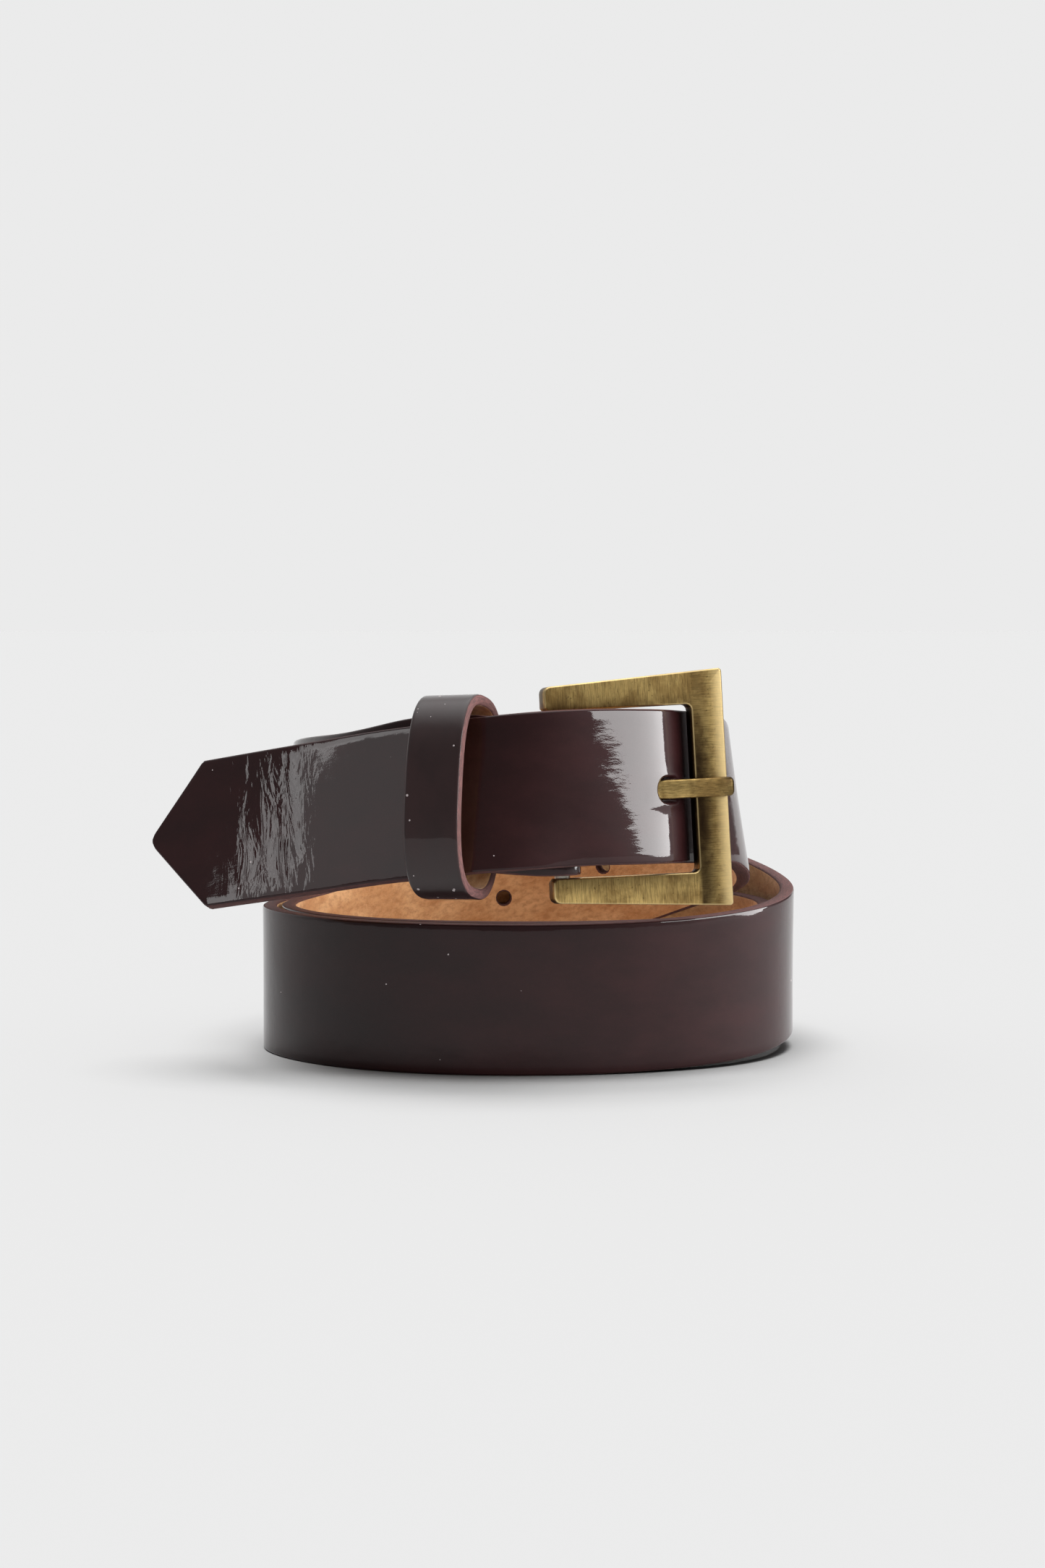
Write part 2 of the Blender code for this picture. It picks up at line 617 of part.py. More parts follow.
def make_keeper(place, materials, parts, cutters):
    """The keeper band, butted on the coil's side, and the staple that closes it."""
    rings = []
    for out, up, facing in keeper_line():
        angle = math.radians(facing)
        way = Vector((math.cos(angle), math.sin(angle), 0))
        middle, along = Vector((out, up, 0)), Vector((0, 0, 1))
        ring = section(middle, way, along, KEEPER_THICKNESS, KEEPER_WIDTH, EDGE_CHAMFER)
        rings.append([place @ point for point in ring])
    keeper = loft("keeper_loop", rings, materials["keeper leather"], parts, place.translation)
    back = -KEEPER_DEPTH / 2
    wires = (("staple_way", STAPLE_WIRE / 2 + GAP, cutters), ("keeper_staple", STAPLE_WIRE / 2, parts))
    leg, foot = STAPLE_SPAN / 2, back + KEEPER_THICKNESS - STAPLE_COVER
    crown = back - STAPLE_WIRE / 2 - GAP / 2
    for name, radius, collection in wires:
        wire = bpy.data.curves.new(name, "CURVE")
        wire.dimensions = "3D"
        wire.bevel_depth = radius
        wire.bevel_resolution = 2
        wire.use_fill_caps = True
        line = wire.splines.new("POLY")
        deeper = GAP if collection is cutters else 0
        run = [(foot + deeper, leg), (crown + STAPLE_BEND, leg), (crown, leg - STAPLE_BEND)]
        run += [(out, -up) for out, up in reversed(run)]
        line.points.add(len(run) - 1)
        for point, (out, up) in zip(line.points, run):
            point.co = (*(place @ Vector((out, up, 0))), 1)
        solid_from_curve(name, wire, materials["steel"], collection)
    staple_way = bpy.data.objects["staple_way"]
    add_boolean(keeper, "DIFFERENCE", as_cutter(staple_way))


def make_rivet(route, label, back, strap, materials, parts, cutters):
    """A tubular rivet through the strap and its flap: a post from inside, a cap pressed on it."""
    middle, _, outwards, _ = route.frame(route.length - back)
    outer = middle + outwards * (thickness_at(route, route.length - back) / 2)
    inner = middle - outwards * (flap_apart(back) + SKIVED_THICKNESS / 2)
    head = RIVET_HEAD_DIAMETER / 2
    stem = RIVET_STEM_DIAMETER / 2
    sunk = outwards * RIVET_SUNK
    plate = outwards * RIVET_HEAD_THICKNESS
    post = make_cylinder(
        f"rivet_post_{label}", head, (inner + sunk, inner + sunk - plate), parts, materials["steel"]
    )
    overlap = outwards * RIVET_JOIN
    past = outwards * RIVET_CUT_PAST
    shaft = make_cylinder(
        f"rivet_stem_{label}", stem, (inner + sunk - overlap, outer - sunk - outwards * GAP), cutters
    )
    add_boolean(post, "UNION", as_cutter(shaft))
    bore = make_cylinder(
        f"rivet_bore_{label}",
        RIVET_BORE_DIAMETER / 2,
        (outer, inner + sunk + plate),
        cutters,
        sides=20,
    )
    add_boolean(post, "DIFFERENCE", as_cutter(bore))
    cap = make_cylinder(
        f"rivet_cap_{label}", head, (outer - sunk, outer - sunk + plate), parts, materials["steel"]
    )
    peg = make_cylinder(
        f"rivet_peg_{label}",
        RIVET_BORE_DIAMETER / 2 - GAP,
        (outer - sunk + overlap, inner + sunk + plate * 2),
        cutters,
        sides=20,
    )
    add_boolean(cap, "UNION", as_cutter(peg))
    recesses = (
        ("cap_seat", head + GAP, outer - sunk - outwards * GAP, outer + past),
        ("post_seat", head + GAP, inner + sunk + outwards * GAP, inner - past),
        ("stem_hole", stem + GAP, inner - past / 2, outer + past / 2),
    )
    for name, radius, start, finish in recesses:
        cutter = make_cylinder(f"{name}_{label}", radius, (start, finish), cutters)
        add_boolean(strap, "DIFFERENCE", as_cutter(cutter))


def main():
    clear_scene()
    parts = new_collection("leather_belt")
    cutters = new_collection("cutters")
    materials = {
        "patent leather": new_material("patent leather", (0.035, 0.018, 0.017), 0.12, coat=1.0),
        "keeper leather": new_material("keeper leather", (0.04, 0.022, 0.02), 0.2, coat=0.6),
        "brass": new_material("brass", (0.45, 0.33, 0.15), 0.42, metallic=1.0),
        "steel": new_material("steel", (0.5, 0.48, 0.44), 0.4, metallic=1.0),
    }
    buckle = buckle_matrix()
    route = Route(strap_stations())
    hinge_at = route.nearest(by_hand(*FREE_END[HINGE_STATION])) - HINGE_LEAD
    middle, _, outwards, _ = route.frame(hinge_at)
    hinge_point = middle + outwards * STRAP_THICKNESS / 2
    hole_at = route.nearest(on_buckle(*THROUGH_BUCKLE[HOLE_STATION]))
    strap = make_strap(route, hinge_at, hole_at, materials, parts, cutters)
    make_strap_tip(route, hinge_at, hinge_point, materials, parts)
    cut_prong_ways(strap, buckle, materials, cutters)
    make_frame(buckle, materials, parts, cutters)
    make_prong(buckle, materials, parts)
    keeper_at = route.nearest(by_hand(*FREE_END[KEEPER_STATION])) + KEEPER_ALONG
    middle, along, outwards, upwards = route.frame(keeper_at)
    inside = BUCKLE_SIDE_OFFSET + STRAP_THICKNESS / 2 + LAYER_GAP + SKIVED_THICKNESS
    layers_middle = middle + outwards * (STRAP_THICKNESS / 2 - inside) / 2
    place = Matrix((outwards, upwards, along)).transposed().to_4x4()
    slew = Matrix.Rotation(math.radians(KEEPER_SLEW), 4, "Y")
    tilt = Matrix.Rotation(math.radians(KEEPER_TILT), 4, "X")
    place = place @ tilt @ slew
    place.translation = layers_middle + outwards * KEEPER_OUT + upwards * KEEPER_RAISE
    make_keeper(place, materials, parts, cutters)
    for label, back in RIVETS_BACK.items():
        make_rivet(route, label, back, strap, materials, parts, cutters)


main()
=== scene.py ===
"""The looks of a dress belt: glossy patent leather, raw inside, with an antique-brass prong buckle.

Metres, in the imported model's frame: +Z up, the front at -Y. The strap lies on the same route as the
CAD's. Each strip of leather is drawn flat, with its holes, and then laid along its route, so the
"lie" attribute of its mesh holds each point's place on the flat leather in millimetres: along,
across, and through.
"""

import json
import math

import bmesh
import bpy
import numpy as np
from mathutils import Matrix, Vector

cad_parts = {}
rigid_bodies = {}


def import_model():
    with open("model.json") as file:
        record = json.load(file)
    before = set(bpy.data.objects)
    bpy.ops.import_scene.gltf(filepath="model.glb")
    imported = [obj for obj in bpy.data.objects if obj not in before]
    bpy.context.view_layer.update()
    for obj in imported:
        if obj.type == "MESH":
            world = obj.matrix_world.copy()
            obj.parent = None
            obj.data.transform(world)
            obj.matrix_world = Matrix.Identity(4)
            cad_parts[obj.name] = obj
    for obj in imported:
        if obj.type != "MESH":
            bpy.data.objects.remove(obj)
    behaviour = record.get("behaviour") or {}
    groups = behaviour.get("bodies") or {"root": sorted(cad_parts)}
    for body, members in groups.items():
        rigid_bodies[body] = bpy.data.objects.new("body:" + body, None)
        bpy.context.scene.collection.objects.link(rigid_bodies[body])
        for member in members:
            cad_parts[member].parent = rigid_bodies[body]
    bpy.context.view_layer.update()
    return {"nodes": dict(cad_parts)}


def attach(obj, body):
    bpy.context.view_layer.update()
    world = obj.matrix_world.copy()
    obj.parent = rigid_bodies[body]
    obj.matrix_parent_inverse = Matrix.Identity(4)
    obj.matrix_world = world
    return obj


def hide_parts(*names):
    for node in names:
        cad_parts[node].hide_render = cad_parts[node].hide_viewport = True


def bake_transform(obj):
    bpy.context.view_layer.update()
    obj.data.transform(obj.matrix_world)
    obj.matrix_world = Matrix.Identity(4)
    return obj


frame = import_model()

MM = 0.001
GAP = 0.3 * MM

# Strap, as in the CAD
STRAP_WIDTH = 35 * MM
STRAP_THICKNESS = 3.5 * MM
SKIVED_THICKNESS = 2.2 * MM
POINT_LENGTH = 14.5 * MM
POINT_NOSE_RADIUS = 3.5 * MM
HOLE_COUNT = 7
HOLE_SPACING = 29 * MM
HOLE_DIAMETER = 3.6 * MM
COIL_CENTRE = Vector((10.9, 1.57, 0)) * MM
COIL_HALF_WIDTH = 63.2 * MM
COIL_FRONT_DEPTH = 42.85 * MM
COIL_BACK_DEPTH = 64.25 * MM
BAR_RADIUS = 1.8 * MM
FOLD_RADIUS = BAR_RADIUS + 2 * GAP + SKIVED_THICKNESS / 2
FLAP_LENGTH = 48 * MM
FLAP_CLOSING = 16 * MM
SKIVE_LENGTH = 14 * MM
LAYER_GAP = 0.5 * MM
PRONG_SLOT_WIDTH = 6.4 * MM
PRONG_SLOT_LENGTH = 9 * MM

# Buckle, as in the CAD
BUCKLE_PLACE = Vector((6.7, -52.4, 65.4)) * MM
BUCKLE_HEADING = 19.0
BUCKLE_LEAN = 5.0
BUCKLE_ROLL = 1.5
FRAME_THICKNESS = 4.2 * MM
FRAME_RISE = 0.5 * MM
FRAME_REACH = 40.6 * MM
FRAME_HEEL = 2.9 * MM
FRONT_BAR_WIDTH = 7.9 * MM
FRAME_HEEL_HEIGHT = 49.0 * MM
FRAME_FRONT_HEIGHT = 54.6 * MM
OPENING_HEEL_HEIGHT = 37.6 * MM
OPENING_FRONT_HEIGHT = 38.6 * MM
CORNER_RADIUS = 0.8 * MM
PRONG_WIDTH = 4.4 * MM
PRONG_THICKNESS = 2.2 * MM
PRONG_WRAP_THICKNESS = 1.5 * MM
PRONG_WRAP_START = -8.0

# Keeper, as in the CAD
KEEPER_WIDTH = 13.2 * MM
KEEPER_THICKNESS = 2.5 * MM
KEEPER_HEIGHT = 46.2 * MM
KEEPER_DEPTH = 27 * MM
KEEPER_SQUARENESS = 2.8
KEEPER_BUTT_GAP = 0.8 * MM
KEEPER_RAISE = 0.9 * MM
KEEPER_ALONG = 3.2 * MM
KEEPER_OUT = 0.5 * MM
KEEPER_SLEW = 4.0
KEEPER_TILT = 7.0

# Routes in millimetres from the coil's centre: x, y, height of the strap's middle, lean in degrees
FREE_END = (
    (-86.4, -35.0, 53.0, 19),
    (-60.0, -44.6, 57.9, 17),
    (-44.0, -49.9, 60.8, 16),
    (-32.0, -53.5, 62.9, 15),
    (-20.5, -56.9, 64.5, 13),
    (-13.0, -59.0, 65.6, 12),
    (-4.0, -60.9, 66.6, 9),
)
THROUGH_BUCKLE = (
    (0, 1.4, 7.0),
    (9, 1.3, 6.9),
    (17.0, 1.0, 5.6),
    (23.4, 0.8, 2.8),
    (28.6, 0.6, -1.1),
    (34.0, 0.3, -5.1),
    (39.5, 0, -8.8),
)
INTO_FOLD = ((-5.3, -0.4, 2.75), (-0.25, -0.6, 3.45))
INTO_FIRST_TURN = ((45.6, -21.5, 64.6, 8), (48.6, -10.5, 61.6, 9))
TURNS = (
    (0, 13.8, 58.0, 9),
    (40, 13.2, 48.0, 7),
    (70, 10.4, 39.0, 4),
    (95, 9.6, 31.5, 2),
    (125, 9.4, 22.6, 1),
    (155, 7.4, 18.2, 0),
    (180, 4.8, 17.5, 0),
    (225, 4.5, 17.5, 0),
    (270, 4.5, 17.5, 0),
    (315, 5.0, 17.5, 0),
    (360, 5.5, 17.5, 0),
    (405, 5.0, 17.5, 0),
    (450, 4.6, 17.5, 0),
    (495, 4.4, 17.5, 0),
    (518, 2.6, 17.5, 0),
    (540, 0.2, 17.5, 0),
    (585, 0.0, 17.5, 0),
    (630, 0.0, 17.5, 0),
    (660, 0.0, 18.0, 0),
    (690, 0.0, 19.4, 0),
    (720, 0.0, 21.4, 0),
    (760, 0.0, 27.5, 1),
    (810, -0.5, 41.0, 3),
    (850, -0.8, 53.0, 5),
    (877, 1.6, 56.0, 7),
    (900, 5.2, 57.3, 9),
)
INTO_BUCKLE_SIDE = ((-56.6, -14.0, 58.4, 10), (-51.4, -28.0, 60.0, 12), (-41.6, -41.6, 61.8, 13))
BEHIND_FREE_END = ((3, 64.4, 15), (4, 66.2, 13), (5, 66.1, 12), (6, 65.6, 9))
BUCKLE_SIDE_OFFSET = STRAP_THICKNESS + 1.4 * MM
KEEPER_STATION = 4
HINGE_STATION = 3
HOLE_STATION = 3
FIRST_RUN = 200 * MM
HINGE_LEAD = 3.5 * MM

# Shape of the visible leather
FACE_COLUMNS = 20
RING_SPACING = 1.5 * MM
FINE_SPACING = 0.8 * MM
FINE_PAST_HOLE = 20 * MM  # how far beyond the prong's hole the rings stay close together
FINE_BEFORE_FOLD = 12 * MM
NOSE_STATIONS = (0.03, 0.1, 0.25, 0.5, 0.8, 1.2, 1.7, 2.3, 3.0)  # millimetres from the strap's tip
NOSE_END = 3.8 * MM
SEAM_HALF_GAP = 0.03 * MM  # where the strap's two strips meet inside the keeper
KEEPER_ROWS = 161
EDGE_ROUNDING = 0.6 * MM
EDGE_DOME = 0.12 * MM
EDGE_ANGLES = [math.radians(angle) for angle in (22.5, 45, 67.5, 90)]
BEND_LENGTH = 7 * MM  # either side of the hinge line

# Holes of the visible leather: a rim is (wider, lower) steps from the face to the hole's wall
HOLE_MARGIN = 0.9 * MM
PUNCHED_RIM = ((0.4 * MM, 0), (0.12 * MM, 0.1 * MM), (0, 0.45 * MM))
WORN_RIM = ((0.8 * MM, -0.25 * MM), (0.4 * MM, -0.22 * MM), (0.15 * MM, 0.2 * MM), (0, 0.9 * MM))
PRONG_HOLE_PAST = 1.3 * MM  # the worn hole's outer end, beyond the first hole's place
PRONG_HOLE_ASIDE = -0.9 * MM
PRONG_HOLE_SIZE = (4.2 * MM, 2.75 * MM)
PRONG_HOLE_LAG = 10
PRONG_HOLE_LONGER = 1.8 * MM

# Unevenness of the visible leather: heights, and lengths along and across the strap
SLOW_WAVE = (0.06 * MM, 9.3 * MM, 13 * MM)
QUICK_WAVE = (0.03 * MM, 5.1 * MM, 7 * MM)
BEND_PLACE = 33 * MM  # where the free end has been flexed, from the tip of its point
BEND_DEPTH = 0.05 * MM
BEND_SPREAD = 14 * MM
BEND_WAVE = 5.1 * MM
UNDER_BAR_PLACE = 25 * MM  # the flat leather under the front bar, beyond the prong's hole
UNDER_BAR_SPREAD = 14 * MM
CALM_BEFORE_FOLD = 60 * MM  # where the waves start to die out
CALM_LENGTH = 20 * MM
PUCKER_HEIGHT = 0.1 * MM
PUCKER_RADIUS = 4.4 * MM
PUCKER_SPREAD = 1.5 * MM
PUCKER_STRETCH = 1.2

# Finishes of the leather, as places in a strip's list of materials
GRAIN, EDGE, FLESH = range(3)
EDGE_FINISHES = [GRAIN] * 2 + [EDGE] * 7 + [FLESH]
COAT_IOR = 1.33

# Shape of the visible metal
FRAME_CHAMFER = 0.28 * MM
FRAME_CHAMFER_INSET = 0.34 * MM
FRAME_BACK_CHAMFER = 0.5 * MM
FRAME_BEVEL = 0.1 * MM
FRAME_BEVEL_FROM = math.radians(18)
FRAME_SHARP_FROM = math.radians(40)
HEEL_CORNER_RADIUS = 1.6 * MM
OPENING_CORNER_RADIUS = 1.3 * MM
ARM_END_CUT = 0.8 * MM
ARM_END_AHEAD = 0.5 * MM
PRONG_SIDES = 24
PRONG_RING_SPACING = 0.6 * MM
PRONG_STEP = 0.3 * MM
PRONG_SQUARENESS = 0.55
PRONG_END_LENGTH = 0.9 * MM
PRONG_END_NARROWING = 0.55
PRONG_SHARP_FROM = math.radians(50)

# Camera and light
CAMERA_PLACE = Vector((-1.3, -726, 113.8)) * MM
CAMERA_PITCH = math.radians(3.8943)
CAMERA_LENS = 68.546  # millimetres, for a picture 36 mm high
PICTURE_HEIGHT = 36
BACKDROP = 0.83
FLOOR_SIZE = 12
FLOOR_DROP = 0.02 * MM
FLOOR_SHADE = 0.258
OVERHEAD = 7.0
OVERHEAD_ANGLE = math.radians(45)
ROOM_BEHIND = (-0.6, 0.7, 0.22, 0.9)  # the room's light by direction: from, to, and the light at each
ROOM_ABOVE = (0.72, 0.98, 0.0, 1.8)
ROOM_DARK = (0.87, 0.95, 1.0, 0.08)
DARK_SIDE = Vector((0.8, 0.6, 0.1))  # towards an unlit part of the room
SOFTBOX_DISTANCE = 1.2
SOFTBOXES = {  # (azimuth, elevation), (width, height), radiance, roll
    "right_softbox": ((76.4, 19), (1.45, 0.66), 14, -14),
    "buckle_softbox": ((70, 24), (0.5, 0.5), 6, 0),
    "left_strip": ((-50, 26), (0.09, 0.5), 6, 0),
    "left_fill": ((-38, 23), (0.42, 0.34), 1.6, 0),
}


# ---------------------------------------------------------------- the strap's route


def buckle_matrix():
    """The buckle's frame: columns u, v, w and the middle of the heel bar."""
    turn = Matrix.Rotation(math.radians(BUCKLE_HEADING), 4, "Z")
    lean = Matrix.Rotation(math.radians(-BUCKLE_LEAN), 4, "X")
    roll = Matrix.Rotation(math.radians(-BUCKLE_ROLL), 4, "Y")
    upright = Matrix(((1, 0, 0, 0), (0, 0, -1, 0), (0, 1, 0, 0), (0, 0, 0, 1)))
    return Matrix.Translation(COIL_CENTRE + BUCKLE_PLACE) @ turn @ lean @ roll @ upright


def on_buckle(u, v, w):
    point = buckle_matrix() @ Vector((u * MM, v * MM, w * MM))
    return (*point, math.radians(BUCKLE_LEAN))


def by_hand(x, y, height, lean):
    return (COIL_CENTRE.x + x * MM, COIL_CENTRE.y + y * MM, height * MM, math.radians(lean))


def on_coil(turn, inset, height, lean):
    angle = math.radians(turn)
    depth = COIL_BACK_DEPTH if math.sin(angle) > 0 else COIL_FRONT_DEPTH
    x = (COIL_HALF_WIDTH - inset * MM) * math.cos(angle)
    y = (depth - inset * MM) * math.sin(angle)
    return (COIL_CENTRE.x + x, COIL_CENTRE.y + y, height * MM, math.radians(lean))


def natural_spline(knots, values, wanted):
    """A smooth curve through the values at the knots, bending no more than it has to."""
    steps = np.diff(knots)
    count = len(knots)
    system = np.eye(count)
    right = np.zeros((count, values.shape[1]))
    for i in range(1, count - 1):
        system[i, i - 1 : i + 2] = steps[i - 1], 2 * (steps[i - 1] + steps[i]), steps[i]
        slopes = np.diff(values[i - 1 : i + 2], axis=0) / steps[i - 1 : i + 1, None]
        right[i] = 6 * (slopes[1] - slopes[0])
    bends = np.linalg.solve(system, right)
    spans = np.clip(np.searchsorted(knots, wanted, side="right") - 1, 0, count - 2)
    width = steps[spans, None]
    before = (knots[spans + 1] - wanted)[:, None]
    after = (wanted - knots[spans])[:, None]
    curve = (bends[spans] * before**3 + bends[spans + 1] * after**3) / (6 * width)
    curve += (values[spans] / width - bends[spans] * width / 6) * before
    return curve + (values[spans + 1] / width - bends[spans + 1] * width / 6) * after


class Route:
    """A smooth line through stations, measured by its own length."""

    samples_per_station = 40
    step = 0.4 * MM

    def __init__(self, stations):
        values = np.array(stations)
        chords = np.linalg.norm(np.diff(values[:, :3], axis=0), axis=1)
        knots = np.concatenate([[0], np.cumsum(chords)])
        fine = np.linspace(0, knots[-1], self.samples_per_station * len(knots))
        self.values = natural_spline(knots, values, fine)
        self.values[:, 2] = np.maximum(self.values[:, 2], STRAP_WIDTH / 2)
        lengths = np.linalg.norm(np.diff(self.values[:, :3], axis=0), axis=1)
        self.at = np.concatenate([[0], np.cumsum(lengths)])
        self.length = self.at[-1]

    def read(self, distance):
        return np.array([np.interp(distance, self.at, column) for column in self.values.T])

    def nearest(self, station):
        gaps = np.linalg.norm(self.values[:, :2] - np.array(station)[:2], axis=1)
        return self.at[np.argmin(np.where(self.at < FIRST_RUN, gaps, 1))]

    def frame(self, distance):
        """The strap's middle there, its direction, its outward normal and its width direction."""
        behind = self.read(max(distance - self.step, 0))
        ahead = self.read(min(distance + self.step, self.length))
        along = Vector(ahead[:3] - behind[:3]).normalized()
        here = self.read(distance)
        level = Vector((along.y, -along.x, 0)).normalized()
        lean = Matrix.Rotation(-here[3], 3, along)
        outwards = lean @ level
        return Vector(here[:3]), along, outwards, outwards.cross(along)


def strap_stations():
    """The whole belt from its point to the heel bar, wound three times round."""
    free_end = [by_hand(*station) for station in FREE_END]
    stations = list(free_end)
    stations += [on_buckle(*station) for station in THROUGH_BUCKLE]
    stations += [by_hand(*station) for station in INTO_FIRST_TURN]
    stations += [on_coil(*station) for station in TURNS]
    stations += [by_hand(*station) for station in INTO_BUCKLE_SIDE]
    lead = Route(stations[: len(FREE_END) + 2])
    for index, height, lean in BEHIND_FREE_END:
        middle, _, outwards, _ = lead.frame(lead.nearest(free_end[index]))
        inside = middle - outwards * BUCKLE_SIDE_OFFSET
        stations.append((inside.x, inside.y, height * MM, math.radians(lean)))
    stations += [on_buckle(*station) for station in INTO_FOLD]
    return stations


def eased(fraction):
    """0 to 1, starting and ending gently, for a number or an array."""
    fraction = np.clip(fraction, 0, 1)
    return fraction * fraction * (3 - 2 * fraction)


# ---------------------------------------------------------------- strips of leather


class Path:
    """Where a strip of leather lies: a row of middles, outward normals and width directions."""

    def __init__(self, rows):
        self.at = np.array([row[0] for row in rows])
        self.middles = np.array([row[1] for row in rows])
        self.outs = np.array([row[2] for row in rows])
        self.ups = np.array([row[3] for row in rows])
        self.thinning = np.array([row[4] for row in rows])

    def read(self, table, along):
        return np.stack([np.interp(along, self.at, column) for column in table.T], axis=1)

    def place(self, flat, relief):
        """Points of the flat leather (along, across, through), laid on the path."""
        along, across, through = flat.T
        outs = self.read(self.outs, along)
        ups = self.read(self.ups, along)
        outs /= np.linalg.norm(outs, axis=1, keepdims=True)
        ups /= np.linalg.norm(ups, axis=1, keepdims=True)
        off = through * np.interp(along, self.at, self.thinning) + relief(along, across)
        return self.read(self.middles, along) + ups * across[:, None] + outs * off[:, None]


def strap_path(route):
    """The strap from its point to the heel bar, round the bar and back along its inside."""
    step = 0.25 * MM
    skived = SKIVED_THICKNESS / STRAP_THICKNESS
    rows = []
    for distance in np.append(np.arange(0, route.length, step), route.length):
        middle, _, outwards, upwards = route.frame(distance)
        thinned = float(eased(1 - (route.length - distance) / SKIVE_LENGTH))
        rows.append((distance, middle, outwards, upwards, 1 + thinned * (skived - 1)))
    end, _, outwards, upwards = route.frame(route.length)
    bar = end - outwards * FOLD_RADIUS
    for turned in range(5, 180, 5):
        way = Matrix.Rotation(math.radians(turned), 3, upwards) @ outwards
        distance = route.length + math.radians(turned) * FOLD_RADIUS
        rows.append((distance, bar + way * FOLD_RADIUS, way, upwards, skived))
    flat = STRAP_THICKNESS / 2 + LAYER_GAP + SKIVED_THICKNESS / 2
    for back in np.arange(0, FLAP_LENGTH, 2 * step):
        middle, _, outwards, upwards = route.frame(route.length - back)
        apart = 2 * FOLD_RADIUS + float(eased(back / FLAP_CLOSING)) * (flat - 2 * FOLD_RADIUS)
        distance = route.length + math.pi * FOLD_RADIUS + back
        rows.append((distance, middle - outwards * apart, -outwards, upwards, skived))
    return Path(rows)


def point_half_width(distance):
    """Half the strap's width that far from the tip of its point: two straight cuts and a round nose."""
    half = STRAP_WIDTH / 2
    slant = math.atan2(half, POINT_LENGTH)
    nose_centre = POINT_NOSE_RADIUS / math.sin(slant)
    from_corner = distance + nose_centre - POINT_NOSE_RADIUS
    if from_corner < nose_centre - POINT_NOSE_RADIUS * math.sin(slant):
        return math.sqrt(max(POINT_NOSE_RADIUS**2 - (nose_centre - from_corner) ** 2, 0))
    return min(from_corner * math.tan(slant), half)


def strip_section(half_width, thickness):
    """A strip's section as a closed ring of (across, through), with the finish of each side of it."""
    half = thickness / 2
    turn = min(EDGE_ROUNDING, half_width / 2)
    inner = half_width - turn
    face = np.linspace(inner, -inner, FACE_COLUMNS + 1)
    edge = []
    for angle in EDGE_ANGLES:
        edge.append((inner + turn * math.sin(angle), half - turn + turn * math.cos(angle)))
    edge.append((half_width + EDGE_DOME, 0))
    for angle in (math.pi / 2, *[math.pi / 2 + angle for angle in EDGE_ANGLES[:-1]]):
        edge.append((inner + turn * math.sin(angle), turn - half + turn * math.cos(angle)))
    ring = [(across, half) for across in face]
    ring += [(-across, through) for across, through in edge]
    ring += [(across, -half) for across in face[::-1]]
    ring += edge[::-1]
    finishes = [GRAIN] * FACE_COLUMNS + EDGE_FINISHES
    finishes += [FLESH] * FACE_COLUMNS + EDGE_FINISHES[::-1]
    return ring, finishes


